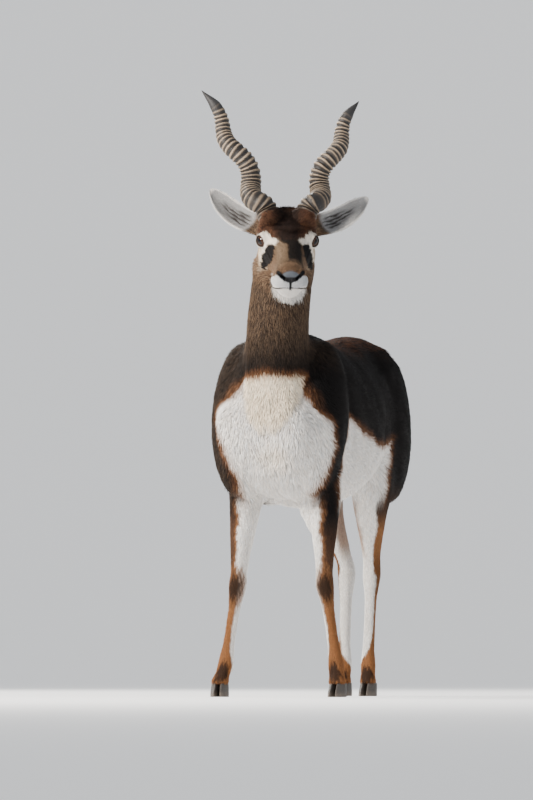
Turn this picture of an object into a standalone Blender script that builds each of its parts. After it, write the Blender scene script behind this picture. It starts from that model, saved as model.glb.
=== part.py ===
"""A male blackbuck standing still at life size, as a museum would show it.

The body lies along Y with the head end at -Y, the animal's left side is +X, and the hooves stand on Z = 0. The neck
turns the head towards the animal's left. Every length is in metres.

The flesh is lofted from oval sections, fused and smoothed as one body, and then parted with thin plane cuts into
head, neck, torso, tail and legs. Horns, ears, eyes and hoof claws are solids of their own that meet flat stumps,
sockets or soles with a hair of clearance.
"""

import math
from collections import namedtuple

import bmesh
import bpy
import numpy as np
from mathutils import Matrix, Vector
from mathutils.bvhtree import BVHTree

# Driving dimensions
WITHERS_HEIGHT = 0.805
GAP = 0.0003
HEAD_LENGTH = 0.2225
HEAD_PITCH = math.radians(30.5)
HEAD_YAW = math.radians(21)
POLL = Vector((0.0435, -0.352, 1.0654))
HORN_SPAN = 0.086
HORN_RADIUS = 0.0235
HORN_RINGS = 26
EYE_RADIUS = 0.0155
EAR_LENGTH = 0.145
HOOF_HEIGHT = 0.030
CLAW_LENGTH = 0.050
TAIL_LENGTH = 0.15
# The point of the animal's own layout that becomes the origin, below the middle of its box
FLOOR_CENTRE = Vector((0.017, -0.048, 0.0))

# Mesh fineness
BODY_VOXEL = 0.0065
HEAD_VOXEL = 0.003
BODY_FACES = 4200
HEAD_FACES = 2250
BODY_SEGMENTS = 28
LEG_SEGMENTS = 16
HORN_SEGMENTS = 12
EYE_SEGMENTS = 16

Trunk = namedtuple("Trunk", "y top wide bottom half_width power")
Limb = namedtuple("Limb", "z x y half_width front back")
Stalk = namedtuple("Stalk", "x y z pitch yaw half_width dorsal ventral")
Skull = namedtuple("Skull", "u top wide bottom half_width power")
Mouth = namedtuple("Mouth", "u v w")

COLOURS = {
    "dark_coat": (0.030, 0.022, 0.018),
    "grey_coat": (0.110, 0.075, 0.050),
    "white_coat": (0.78, 0.75, 0.70),
    "tan_coat": (0.42, 0.24, 0.12),
    "horn": (0.11, 0.085, 0.065),
    "hoof": (0.030, 0.025, 0.022),
    "eye": (0.030, 0.014, 0.008),
}
ROUGHNESS = {"horn": 0.45, "hoof": 0.4, "eye": 0.08}
COAT_ROUGHNESS = 0.85


def clear_scene():
    """Removes every object that the scene holds."""
    for old in list(bpy.data.objects):
        bpy.data.objects.remove(old)


def finish_of(name):
    """The material of one finish, made once."""
    if name in bpy.data.materials:
        return bpy.data.materials[name]
    material = bpy.data.materials.new(name)
    material.use_nodes = True
    shader = material.node_tree.nodes["Principled BSDF"]
    shader.inputs["Base Color"].default_value = (*COLOURS[name], 1.0)
    shader.inputs["Roughness"].default_value = ROUGHNESS.get(name, COAT_ROUGHNESS)
    return material


def object_from(name, points, faces):
    """A new object with this closed mesh, its faces turned outwards."""
    mesh = bpy.data.meshes.new(name)
    mesh.from_pydata([tuple(p) for p in points], [], faces)
    shaped = bmesh.new()
    shaped.from_mesh(mesh)
    bmesh.ops.recalc_face_normals(shaped, faces=shaped.faces)
    if shaped.calc_volume(signed=True) < 0:
        bmesh.ops.reverse_faces(shaped, faces=shaped.faces)
    shaped.to_mesh(mesh)
    shaped.free()
    made = bpy.data.objects.new(name, mesh)
    bpy.context.scene.collection.objects.link(made)
    return made


def loft(name, rings, looped=False):
    """A solid through rings of points, with a flat cap at each end, or none where the rings close on themselves."""
    count = len(rings[0])
    points = [p for ring in rings for p in ring]
    faces = []
    spans = len(rings) if looped else len(rings) - 1
    for i in range(spans):
        here, there = i * count, (i + 1) % len(rings) * count
        for k in range(count):
            after = (k + 1) % count
            faces.append((here + k, here + after, there + after, there + k))
    if not looped:
        faces.append(tuple(range(count))[::-1])
        faces.append(tuple(range(len(points) - count, len(points))))
    return object_from(name, points, faces)


def oval(centre, side, up, half_width, rise, drop, segments, power=2.0):
    """A ring round centre: half_width to each side, rise above it and drop below it, squarer as power passes 2."""
    ring = []
    for k in range(segments):
        angle = math.tau * (k + 0.5) / segments
        across = math.copysign(abs(math.cos(angle)) ** (2 / power), math.cos(angle))
        height = math.copysign(abs(math.sin(angle)) ** (2 / power), math.sin(angle))
        reach = rise if height > 0 else drop
        ring.append(centre + side * (half_width * across) + up * (reach * height))
    return ring


def smooth_rows(table, steps):
    """Rows read from the Catmull-Rom curve through the rows of a table, with steps to each span."""
    rows = np.array(table, float)
    kind = type(table[0])
    padded = np.vstack([2 * rows[0] - rows[1], rows, 2 * rows[-1] - rows[-2]])
    read = []
    for i in range(len(rows) - 1):
        a, b, c, d = padded[i : i + 4]
        for t in np.linspace(0, 1, steps, endpoint=False):
            value = 2 * b + (c - a) * t + (2 * a - 5 * b + 4 * c - d) * t * t
            value = 0.5 * (value + (3 * b - a - 3 * c + d) * t**3)
            read.append(kind(*value))
    read.append(kind(*rows[-1]))
    return read


def ellipsoid(name, centre, radii, turn=None, segments=20, rings=12):
    """A closed ellipsoid with these three radii, turned by an optional rotation matrix."""
    turn = turn or Matrix.Identity(3)
    shape = bmesh.new()
    bmesh.ops.create_uvsphere(shape, u_segments=segments, v_segments=rings, radius=1.0)
    for vertex in shape.verts:
        place = Vector(vertex.co[i] * radii[i] for i in range(3))
        vertex.co = turn @ place + Vector(centre)
    mesh = bpy.data.meshes.new(name)
    shape.to_mesh(mesh)
    shape.free()
    made = bpy.data.objects.new(name, mesh)
    bpy.context.scene.collection.objects.link(made)
    return made


def settle(obj):
    """Replaces the object's mesh by the one that its modifiers make."""
    graph = bpy.context.evaluated_depsgraph_get()
    graph.update()
    mesh = bpy.data.meshes.new_from_object(obj.evaluated_get(graph))
    obj.modifiers.clear()
    obj.data = mesh
    return obj


def boolean(obj, others, operation, solver="MANIFOLD"):
    """The object joined with, or cut by, a list of closed mesh objects, which are then removed."""
    group = bpy.data.collections.new("cutters")
    bpy.context.scene.collection.children.link(group)
    for other in others:
        group.objects.link(other)
    tool = obj.modifiers.new(operation.lower(), "BOOLEAN")
    tool.operation = operation
    tool.solver = solver
    tool.operand_type = "COLLECTION"
    tool.collection = group
    settle(obj)
    for other in others:
        bpy.data.objects.remove(other)
    bpy.data.collections.remove(group)
    return obj


def fused(name, forms, voxel, rounds, faces=None):
    """The forms melted into one smooth closed body, thinned to about this many faces."""
    points, polygons = [], []
    for form in forms:
        base = len(points)
        points += [v.co.copy() for v in form.data.vertices]
        polygons += [tuple(base + v for v in face.vertices) for face in form.data.polygons]
        bpy.data.objects.remove(form)
    mesh = bpy.data.meshes.new(name)
    mesh.from_pydata(points, [], polygons)
    body = bpy.data.objects.new(name, mesh)
    bpy.context.scene.collection.objects.link(body)
    melt = body.modifiers.new("melt", "REMESH")
    melt.mode = "VOXEL"
    melt.voxel_size = voxel
    calm = body.modifiers.new("calm", "SMOOTH")
    calm.factor = 0.5
    calm.iterations = rounds
    settle(body)
    if faces:
        thin = body.modifiers.new("thin", "DECIMATE")
        thin.ratio = min(1.0, faces / (2 * len(body.data.polygons)))
        settle(body)
    return largest_piece(body)


def largest_piece(obj):
    """Keeps only the largest closed surface of the object's mesh."""
    shape = bmesh.new()
    shape.from_mesh(obj.data)
    bmesh.ops.triangulate(shape, faces=shape.faces)
    left = set(shape.faces)
    groups = []
    while left:
        todo = [left.pop()]
        group = []
        while todo:
            face = todo.pop()
            group.append(face)
            for edge in face.edges:
                for near in edge.link_faces:
                    if near in left:
                        left.remove(near)
                        todo.append(near)
        groups.append(group)
    groups.sort(key=lambda g: sum(f.calc_area() for f in g))
    for group in groups[:-1]:
        bmesh.ops.delete(shape, geom=group, context="FACES")
    shape.to_mesh(obj.data)
    shape.free()
    return obj


def slab(name, centre, axes, lows, highs):
    """A box in the frame of three axes, from the lows to the highs along them."""
    points = []
    for i in (0, 1):
        for j in (0, 1):
            for k in (0, 1):
                reach = [(lows, highs)[n][m] for m, n in enumerate((i, j, k))]
                points.append(centre + sum((axes[m] * reach[m] for m in range(3)), Vector()))
    faces = [(0, 1, 3, 2), (4, 6, 7, 5), (0, 4, 5, 1), (2, 3, 7, 6), (0, 2, 6, 4), (1, 5, 7, 3)]
    return object_from(name, points, faces)


def part_off(whole, name, centre, axes, lows, highs):
    """Cuts the part of the whole that lies in a box into a node of its own, with a thin gap on the box's sides."""
    piece = bpy.data.objects.new(name, whole.data.copy())
    bpy.context.scene.collection.objects.link(piece)
    boolean(piece, [slab("keep", centre, axes, lows, highs)], "INTERSECT")
    grown = [low - GAP for low in lows], [high + GAP for high in highs]
    boolean(whole, [slab("drop", centre, axes, *grown)], "DIFFERENCE")
    return largest_piece(piece)


def finish(obj, material):
    """Gives the object its finish, smooth shading and its place about the floor's origin."""
    obj.data.materials.clear()
    obj.data.materials.append(finish_of(material))
    obj.data.transform(Matrix.Translation(-FLOOR_CENTRE))
    obj.data.shade_smooth()
    obj.data.set_sharp_from_angle(angle=math.radians(40))
    return obj


X, Y, Z = Vector((1, 0, 0)), Vector((0, 1, 0)), Vector((0, 0, 1))

# The head's own frame: along the face to the nose, out to the animal's left, and up from the forehead
FACING = Vector((math.sin(HEAD_YAW), -math.cos(HEAD_YAW), 0.0))
ALONG = FACING * math.cos(HEAD_PITCH) - Z * math.sin(HEAD_PITCH)
RISING = FACING * math.sin(HEAD_PITCH) + Z * math.cos(HEAD_PITCH)
LEFTWARD = RISING.cross(ALONG)


def in_head(u, v, w):
    """The place u along the head from the poll, v to the animal's left and w up from the line of the forehead."""
    return POLL + ALONG * u + LEFTWARD * v + RISING * w


def trunk_form():
    """Chest, barrel and rump as one loft along Y."""
    top = WITHERS_HEIGHT
    table = [
        Trunk(-0.400, 0.650, 0.600, 0.555, 0.030, 2.0),
        Trunk(-0.380, 0.705, 0.598, 0.492, 0.078, 2.1),
        Trunk(-0.335, top - 0.055, 0.600, 0.442, 0.114, 2.3),
        Trunk(-0.255, top - 0.004, 0.605, 0.422, 0.130, 2.5),
        Trunk(-0.175, top + 0.006, 0.610, 0.418, 0.136, 2.5),
        Trunk(-0.060, top - 0.010, 0.610, 0.424, 0.142, 2.3),
        Trunk(0.050, top - 0.012, 0.610, 0.438, 0.143, 2.2),
        Trunk(0.140, top - 0.002, 0.620, 0.462, 0.130, 2.2),
        Trunk(0.225, top + 0.008, 0.640, 0.492, 0.116, 2.15),
        Trunk(0.305, top - 0.002, 0.645, 0.505, 0.108, 2.1),
        Trunk(0.360, top - 0.040, 0.650, 0.530, 0.085, 2.0),
        Trunk(0.390, top - 0.095, 0.660, 0.585, 0.045, 2.0),
    ]
    rings = [
        oval(
            Vector((0, r.y, r.wide)), X, Z, r.half_width, r.top - r.wide, r.wide - r.bottom, BODY_SEGMENTS, r.power
        )
        for r in smooth_rows(table, 3)
    ]
    return loft("trunk", rings)


def neck_form():
    """The neck, rising out of the chest and turning with the head."""
    table = [
        Stalk(0.000, -0.205, 0.640, 46, 0, 0.094, 0.125, 0.140),
        Stalk(0.000, -0.262, 0.695, 52, 2, 0.084, 0.113, 0.127),
        Stalk(0.006, -0.306, 0.760, 64, 6, 0.0725, 0.092, 0.100),
        Stalk(0.018, -0.328, 0.830, 76, 10, 0.0675, 0.073, 0.081),
        Stalk(0.029, -0.336, 0.900, 82, 14, 0.0650, 0.063, 0.070),
        Stalk(0.036, -0.340, 0.960, 80, 18, 0.0660, 0.058, 0.066),
        Stalk(0.043, -0.350, 1.012, 72, 20, 0.0520, 0.052, 0.052),
    ]
    rings = []
    for r in smooth_rows(table, 3):
        yaw, pitch = math.radians(r.yaw), math.radians(r.pitch)
        ahead = Vector((math.sin(yaw), -math.cos(yaw), 0))
        side = Vector((math.cos(yaw), math.sin(yaw), 0))
        nape = Z * math.cos(pitch) - ahead * math.sin(pitch)
        centre = Vector((r.x, r.y, r.z))
        rings.append(oval(centre, side, nape, r.half_width, r.dorsal, r.ventral, BODY_SEGMENTS, 2.1))
    return loft("neck_form", rings)


def muscle_forms():
    """The muscles that stand out over the upper legs, breast and haunches, on both sides."""
    forms = [ellipsoid("withers", (0, -0.200, 0.752), (0.090, 0.120, 0.060))]
    for side in (1, -1):
        lean = Matrix.Rotation(math.radians(-14), 3, "X")
        forms.append(ellipsoid("shoulder", (side * 0.086, -0.262, 0.618), (0.066, 0.100, 0.178), lean))
        forms.append(ellipsoid("breast", (side * 0.052, -0.352, 0.580), (0.064, 0.055, 0.095)))
        lean = Matrix.Rotation(math.radians(14), 3, "X")
        forms.append(ellipsoid("thigh", (side * 0.076, 0.268, 0.618), (0.056, 0.118, 0.185), lean))
        forms.append(ellipsoid("haunch", (side * 0.060, 0.225, 0.700), (0.060, 0.110, 0.095)))
    return forms


def leg_form(name, table):
    """One leg as a loft of level ovals from inside the body down to the top of the hoof."""
    rings = [
        oval(Vector((r.x, r.y, r.z)), X, -Y, r.half_width, r.front, r.back, LEG_SEGMENTS, 2.1)
        for r in smooth_rows(table, 3)
    ]
    return loft(name, rings)


# Where each leg runs, as the places of its shoulder or hip, joints and foot
Stance = namedtuple("Stance", "top elbow knee fetlock foot")
FORE_STANCE = {
    1: Stance((0.090, -0.235), (0.096, -0.248), (0.103, -0.262), (0.127, -0.255), (0.135, -0.270)),
    -1: Stance((-0.088, -0.235), (-0.084, -0.248), (-0.098, -0.262), (-0.129, -0.255), (-0.138, -0.270)),
}
HIND_STANCE = {
    1: Stance((0.074, 0.235), (0.066, 0.195), (0.048, 0.268), (0.050, 0.232), (0.054, 0.220)),
    -1: Stance((-0.074, 0.262), (-0.066, 0.245), (-0.036, 0.345), (-0.032, 0.315), (-0.031, 0.303)),
}


def between(a, b, share):
    """The point that lies this share of the way from a to b."""
    return tuple(p + (q - p) * share for p, q in zip(a, b))


def foreleg_form(side):
    """A foreleg: forearm, knee, cannon, fetlock and pastern."""
    s = FORE_STANCE[side]
    rows = [
        Limb(0.600, *s.top, 0.044, 0.060, 0.070),
        Limb(0.510, *between(s.top, s.elbow, 0.7), 0.041, 0.055, 0.066),
        Limb(0.440, *s.elbow, 0.0350, 0.043, 0.054),
        Limb(0.380, *between(s.elbow, s.knee, 0.35), 0.0295, 0.033, 0.038),
        Limb(0.320, *between(s.elbow, s.knee, 0.7), 0.0225, 0.025, 0.027),
        Limb(0.275, *between(s.elbow, s.knee, 0.9), 0.0188, 0.0210, 0.0222),
        Limb(0.250, *s.knee, 0.0210, 0.0232, 0.0232),
        Limb(0.222, *between(s.knee, s.fetlock, 0.15), 0.0175, 0.0190, 0.0210),
        Limb(0.190, *between(s.knee, s.fetlock, 0.34), 0.0140, 0.0152, 0.0170),
        Limb(0.120, *between(s.knee, s.fetlock, 0.75), 0.0136, 0.0142, 0.0168),
        Limb(0.090, *between(s.knee, s.fetlock, 0.93), 0.0168, 0.0160, 0.0205),
        Limb(0.073, *s.fetlock, 0.0188, 0.0170, 0.0230),
        Limb(0.052, *between(s.fetlock, s.foot, 0.5), 0.0178, 0.0165, 0.0195),
        Limb(0.036, *s.foot, 0.0205, 0.0205, 0.0195),
        Limb(HOOF_HEIGHT - 0.012, *s.foot, 0.0230, 0.0250, 0.0215),
    ]
    return leg_form("foreleg_form", rows)


def hindleg_form(side):
    """A hind leg: thigh, gaskin, hock with its point behind, cannon, fetlock and pastern."""
    s = HIND_STANCE[side]
    rows = [
        Limb(0.640, *s.top, 0.050, 0.085, 0.095),
        Limb(0.540, *between(s.top, s.elbow, 0.6), 0.049, 0.080, 0.098),
        Limb(0.470, *between(s.top, s.elbow, 0.9), 0.043, 0.060, 0.088),
        Limb(0.410, *between(s.elbow, s.knee, 0.25), 0.0340, 0.043, 0.063),
        Limb(0.360, *between(s.elbow, s.knee, 0.58), 0.0250, 0.030, 0.043),
        Limb(0.320, *between(s.elbow, s.knee, 0.85), 0.0195, 0.023, 0.033),
        Limb(0.298, *between(s.elbow, s.knee, 0.97), 0.0195, 0.022, 0.032),
        Limb(0.276, *s.knee, 0.0208, 0.0235, 0.0275),
        Limb(0.250, *between(s.knee, s.fetlock, 0.10), 0.0175, 0.021, 0.0235),
        Limb(0.215, *between(s.knee, s.fetlock, 0.28), 0.0140, 0.0170, 0.0190),
        Limb(0.120, *between(s.knee, s.fetlock, 0.75), 0.0135, 0.0148, 0.0180),
        Limb(0.092, *between(s.knee, s.fetlock, 0.93), 0.0158, 0.0162, 0.0205),
        Limb(0.074, *s.fetlock, 0.0180, 0.0170, 0.0230),
        Limb(0.052, *between(s.fetlock, s.foot, 0.5), 0.0168, 0.0165, 0.0195),
        Limb(0.036, *s.foot, 0.0195, 0.0205, 0.0190),
        Limb(HOOF_HEIGHT - 0.012, *s.foot, 0.0215, 0.0245, 0.0210),
    ]
    return leg_form("hindleg_form", rows)


def tail_form():
    """The short flat tail, hanging from the rump."""
    root = Vector((0, 0.372, 0.742))
    rings = []
    for k in range(9):
        t = k / 8
        centre = root + Vector((0, 0.040 * math.sin(t * 2.2), -TAIL_LENGTH * t))
        width = 0.021 + 0.008 * math.sin(math.pi * min(1, t * 1.15)) - 0.014 * t**3
        depth = 0.014 - 0.007 * t
        rings.append(oval(centre, X, Y, width, depth, depth, 12))
    return loft("tail_form", rings)


HEAD_TABLE = [
    Skull(-0.040, -0.030, -0.058, -0.092, 0.036, 2.0),
    Skull(-0.018, -0.008, -0.055, -0.110, 0.050, 2.1),
    Skull(0.010, 0.003, -0.052, -0.118, 0.057, 2.2),
    Skull(0.045, 0.004, -0.048, -0.119, 0.059, 2.3),
    Skull(0.075, -0.001, -0.048, -0.114, 0.056, 2.3),
    Skull(0.105, -0.008, -0.051, -0.106, 0.047, 2.3),
    Skull(0.135, -0.014, -0.056, -0.101, 0.0375, 2.3),
    Skull(0.165, -0.019, -0.061, -0.101, 0.0335, 2.4),
    Skull(0.190, -0.023, -0.061, -0.102, 0.0335, 2.4),
    Skull(0.207, -0.025, -0.058, -0.095, 0.0310, 2.3),
    Skull(0.217, -0.029, -0.055, -0.081, 0.0255, 2.2),
    Skull(HEAD_LENGTH, -0.036, -0.053, -0.068, 0.016, 2.0),
]
EYE_PLACE = (0.070, 0.0510, -0.033)
ORBIT_RADIUS = EYE_RADIUS + 0.0046
LID_ANGLES = (math.radians(60), math.radians(40))


def head_forms():
    """The skull, jaw and muzzle with cheeks, brows, eye rims, horn cores and ear roots, ready to melt together."""
    rings = [
        oval(
            in_head(r.u, 0, r.wide), LEFTWARD, RISING, r.half_width, r.top - r.wide, r.wide - r.bottom,
            BODY_SEGMENTS, r.power,
        )
        for r in smooth_rows(HEAD_TABLE, 3)
    ]
    forms = [loft("skull", rings)]
    turn = Matrix((ALONG, LEFTWARD, RISING)).transposed()
    u, v, w = EYE_PLACE
    for side in (1, -1):
        for name, place, radii in (
            ("brow", (u - 0.010, v - 0.016, w + 0.010), (0.032, 0.020, 0.019)),
            ("temple", (0.034, 0.038, -0.038), (0.036, 0.029, 0.030)),
            ("cheek", (0.050, 0.034, -0.076), (0.048, 0.029, 0.036)),
            ("lip", (0.186, 0.018, -0.072), (0.030, 0.0225, 0.018)),
            ("nose_wing", (0.2045, 0.0175, -0.0420), (0.0155, 0.0150, 0.0120)),
        ):
            forms.append(ellipsoid(name, in_head(place[0], side * place[1], place[2]), radii, turn))
        forms.append(ellipsoid("orbit", eye_frame(side)[0], (ORBIT_RADIUS,) * 3))
        forms.append(horn_core(side))
        forms.append(ear_root(side))
    forms.append(ellipsoid("chin", in_head(0.182, 0, -0.094), (0.026, 0.024, 0.014), turn))
    forms.append(ellipsoid("forehead", in_head(0.028, 0, -0.014), (0.042, 0.052, 0.026), turn))
    return forms


def eye_frame(side):
    """Centre of an eye and its axes: out of the head, towards the front corner and up."""
    u, v, w = EYE_PLACE
    centre = in_head(u, side * v, w)
    out = (LEFTWARD * side * 0.76 + ALONG * 0.60 + RISING * 0.22).normalized()
    ahead = ALONG * 0.70 - RISING * 0.48 - LEFTWARD * side * 0.50
    ahead = (ahead - out * ahead.dot(out)).normalized()
    return centre, out, ahead, out.cross(ahead) * side


def lid_ray(side, angle):
    """The direction from an eye's centre to the edge of its almond opening at this angle round it."""
    _, out, ahead, above = eye_frame(side)
    corner, lid = (math.tan(reach) for reach in LID_ANGLES)
    height = math.copysign(abs(math.sin(angle)) ** 1.35, math.sin(angle))
    return (out + ahead * corner * math.cos(angle) + above * lid * height).normalized()


def eye_opening(side):
    """The almond wedge that opens the skin over an eyeball."""
    centre = eye_frame(side)[0]
    rays = [lid_ray(side, math.tau * k / 20) for k in range(20)]
    reaches = (0.006, EYE_RADIUS + 0.012)
    return loft("opening", [[centre + ray * reach for ray in rays] for reach in reaches])


def eyelids(side):
    """A rounded rim of skin that follows the almond opening over the eyeball."""
    centre, out, _, _ = eye_frame(side)
    rings = []
    count = 22
    for k in range(count):
        ray = lid_ray(side, math.tau * k / count)
        outward = (ray - out * ray.dot(out)).normalized()
        middle = centre + ray * (EYE_RADIUS + 0.0020) + outward * 0.0012
        rings.append(oval(middle, outward, ray, 0.0026, 0.0015, 0.0030, 6))
    return loft("lids", rings, looped=True)


def groove(name, path, depth, width):
    """A slim closed rod along a path on the skin, to be cut out as a groove."""
    rings = []
    for i, place in enumerate(path):
        before, after = path[max(i - 1, 0)], path[min(i + 1, len(path) - 1)]
        run = (after - before).normalized()
        across = run.cross(RISING).normalized()
        rings.append(oval(place, across, run.cross(across), depth, width, width, 8))
    return loft(name, rings)


MOUTH_LINE = (
    # u, v, w from the front to the corner
    (0.2130, 0.000, -0.0710),
    (0.2100, 0.014, -0.0725),
    (0.2000, 0.028, -0.0780),
    (0.1850, 0.036, -0.0820),
    (0.1680, 0.038, -0.0805),
    (0.1500, 0.038, -0.0750),
)


def mouth_cutter(tree):
    """The line of the mouth, from one corner round the front to the other, laid on the skin."""
    rows = [Mouth(*row) for row in MOUTH_LINE]
    half = smooth_rows(rows, 3)
    places = [(r.u, -r.v, r.w) for r in half[::-1]] + [(r.u, r.v, r.w) for r in half[1:]]
    found = []
    for u, v, w in places:
        inside = in_head(0.155 if abs(v) < 0.03 else u - 0.01, 0, w)
        hit = tree.ray_cast(inside, (in_head(u, v, w) - inside).normalized())[0]
        if hit:
            found.append(hit)
    return groove("mouth", found, 0.0034, 0.0012)


NOSTRIL_LINE = (
    # v out from the middle, w, half the slit's height
    (0.0065, -0.0495, 0.0022),
    (0.0100, -0.0470, 0.0034),
    (0.0150, -0.0435, 0.0036),
    (0.0205, -0.0395, 0.0030),
    (0.0250, -0.0365, 0.0014),
)


def nostril_cutter(tree, side):
    """A comma-shaped nostril that slants from beside the lip groove up and out over the wing of the nose."""
    places = []
    for v, w, _ in NOSTRIL_LINE:
        start = in_head(0.175, 0, w - 0.004)
        places.append(tree.ray_cast(start, (in_head(0.214, side * v, w) - start).normalized())[0])
    rings = []
    for i, place in enumerate(places):
        before, after = places[max(i - 1, 0)], places[min(i + 1, len(places) - 1)]
        run = (after - before).normalized()
        inward = (-ALONG * 0.85 - LEFTWARD * side * 0.4).normalized()
        inward = (inward - run * inward.dot(run)).normalized()
        height = NOSTRIL_LINE[i][2]
        rings.append(oval(place + inward * 0.0035, inward, run.cross(inward), 0.0065, height, height, 10))
    return loft("nostril", rings)


def philtrum_cutter(tree):
    """The groove from between the nostrils down to the mouth."""
    found = []
    for k in range(6):
        w = -0.050 - 0.019 * k / 5
        hit = tree.ray_cast(in_head(0.16, 0, w), ALONG)[0]
        if hit:
            found.append(hit)
    rings = [oval(place, LEFTWARD, ALONG, 0.0012, 0.0028, 0.0028, 8) for place in found]
    return loft("philtrum", rings)


def gland_cutter(side):
    """The slit of the scent gland in front of an eye."""
    turn = Matrix((ALONG, LEFTWARD, RISING)).transposed() @ Matrix.Rotation(math.radians(14), 3, "Y")
    return ellipsoid("gland", in_head(0.112, side * 0.0470, -0.040), (0.0120, 0.0060, 0.0024), turn, 12, 8)


HORN_REACH = {
    # side: how far the tip lies out, up and back from the base
    1: (0.118, 0.2590, 0.115),
    -1: (0.1353, 0.2819, 0.115),
}
HORN_SINK = 0.014
RINGED_SHARE = 0.86
HORN_TWIST = {
    # side: bend near the base, bend further up, turns, share of the length at the first outward bend
    1: (0.0168, 0.0088, 2.28, 0.150),
    -1: (0.0174, 0.0097, 2.28, 0.147),
}


def horn_axis(side):
    """The straight line that a horn winds round, as long as the horn."""
    out, up, back = HORN_REACH[side]
    return LEFTWARD * side * out + Z * up - FACING * back


def horn_base(side):
    """Where the horn's middle line starts to wind."""
    return in_head(0.027, side * HORN_SPAN / 2, 0.012)


def horn_seat(side):
    """Where the horn stands on the skull, a little below the start of its winding."""
    return horn_base(side) - horn_axis(side).normalized() * HORN_SINK


def horn_line(side, t):
    """The horn's middle line at share t of its length: a corkscrew that widens and narrows round the axis."""
    first, later, turns, phase = HORN_TWIST[side]
    run = horn_axis(side)
    axis = run.normalized()
    outward = (LEFTWARD * side - axis * (LEFTWARD * side).dot(axis)).normalized()
    back = axis.cross(outward) * side
    amount = (first + (later - first) * min(1, t / 0.5)) * max(0, min(1, t / 0.09)) * (1 - 0.35 * t)
    angle = math.tau * turns * (t - phase)
    wound = outward * (amount * math.cos(angle)) + back * (amount * math.sin(angle))
    return horn_base(side) + run * t + wound


def horn(side):
    """A tapering corkscrew horn with raised rings up to its smooth tip."""
    start = -HORN_SINK / horn_axis(side).length
    places, radii = [start], [HORN_RADIUS * 0.96]
    for k in range(HORN_RINGS):
        for part, swell in ((0.12, -0.06), (0.45, 0.09), (0.72, 0.07)):
            t = start + (RINGED_SHARE - start) * ((k + part) / HORN_RINGS) ** 0.94
            strength = min(1.0, 0.7 + t) * (1 - max(0.0, (t - 0.55) / 0.45))
            places.append(t)
            radii.append(HORN_RADIUS * (1 - 0.28 * t - 0.42 * max(0, t) ** 4) * (1 + swell * strength))
    for k in range(8):
        t = RINGED_SHARE + (1 - RINGED_SHARE) * k / 7
        left = 1 - k / 7
        places.append(t)
        radii.append(HORN_RADIUS * (1 - 0.28 * t - 0.42 * t**4) * (0.985 * left**0.75 + 0.03))
    rings = []
    for t, thick in zip(places, radii):
        ahead = (horn_line(side, min(1, t + 0.01)) - horn_line(side, max(0, t - 0.01))).normalized()
        settled = max(0.0, min(1.0, t / 0.06))
        ahead = (horn_axis(side).normalized() * (1 - settled) + ahead * settled).normalized()
        level = ahead.cross(FACING).normalized()
        rings.append(oval(horn_line(side, t), level, level.cross(ahead), thick, thick, thick, HORN_SEGMENTS))
    return loft("horn", rings)


def horn_core(side):
    """The skin-covered core that a horn stands on, reaching past the horn's base."""
    base, axis = horn_seat(side), horn_axis(side).normalized()
    level = axis.cross(FACING).normalized()
    rings = []
    for down, swell in ((-0.004, 0.0015), (0.004, 0.0020), (0.012, 0.0005), (0.020, -0.0080)):
        reach = HORN_RADIUS + swell
        rings.append(oval(base - axis * down, level, level.cross(axis), reach, reach, reach, BODY_SEGMENTS))
    return loft("core", rings)


def clearing(name, base, axis, radius, height):
    """A round cutter that levels the flesh where another piece begins at this base."""
    level = axis.orthogonal().normalized()
    rings = [
        oval(base + axis * up, level, level.cross(axis), radius, radius, radius, BODY_SEGMENTS)
        for up in (-GAP, height)
    ]
    return loft(name, rings)


Ear = namedtuple("Ear", "share half_width cup wall")
EAR_TABLE = [
    Ear(0.00, 0.0225, 0.003, 0.0220),
    Ear(0.12, 0.0240, 0.011, 0.0150),
    Ear(0.28, 0.0258, 0.019, 0.0045),
    Ear(0.50, 0.0258, 0.016, 0.0030),
    Ear(0.72, 0.0222, 0.010, 0.0027),
    Ear(0.87, 0.0155, 0.006, 0.0024),
    Ear(0.96, 0.0085, 0.003, 0.0022),
    Ear(1.00, 0.0030, 0.0015, 0.0020),
]
EAR_POSE = {
    # side: how far out the root lies, then the way to the tip as out, up and back
    1: (0.064, 0.839, 0.449, 0.309),
    -1: (0.055, 0.760, 0.569, 0.312),
}


def ear_frame(side):
    """Root of an ear and its axes: towards the tip, across the cup, and the way the cup faces."""
    root_out, out, up, back = EAR_POSE[side]
    root = in_head(-0.008, side * root_out, -0.036)
    tip = (LEFTWARD * side * out + Z * up - FACING * back).normalized()
    facing = (FACING - Z * 0.05).normalized()
    facing = (facing - tip * facing.dot(tip)).normalized()
    return root, tip, tip.cross(facing), facing


def ear_middle(side, share):
    """The middle line of an ear, which sags and arches back between root and tip."""
    root, tip, across, facing = ear_frame(side)
    bow = math.sin(math.pi * share)
    bent = across * (side * 0.011 * bow) - facing * (0.010 * bow)
    return root + tip * (EAR_LENGTH * share) + bent


def ear(side):
    """A leaf-shaped ear: a cupped shell, broad from the root to past its middle."""
    _, _, across, facing = ear_frame(side)
    rings = []
    for row in smooth_rows(EAR_TABLE, 2):
        middle = ear_middle(side, row.share)
        inner, outer = [], []
        for k in range(8):
            s = k / 3.5 - 1
            inner.append(middle + across * (row.half_width * s) - facing * row.cup * (1 - s * s))
            spread = (row.half_width + 0.001) * s
            depth = (row.cup + row.wall) * (1 - s * s) + 0.0022 * s * s
            outer.append(middle + across * spread - facing * depth)
        rings.append(inner + outer[::-1])
    return loft("ear", rings)


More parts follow.
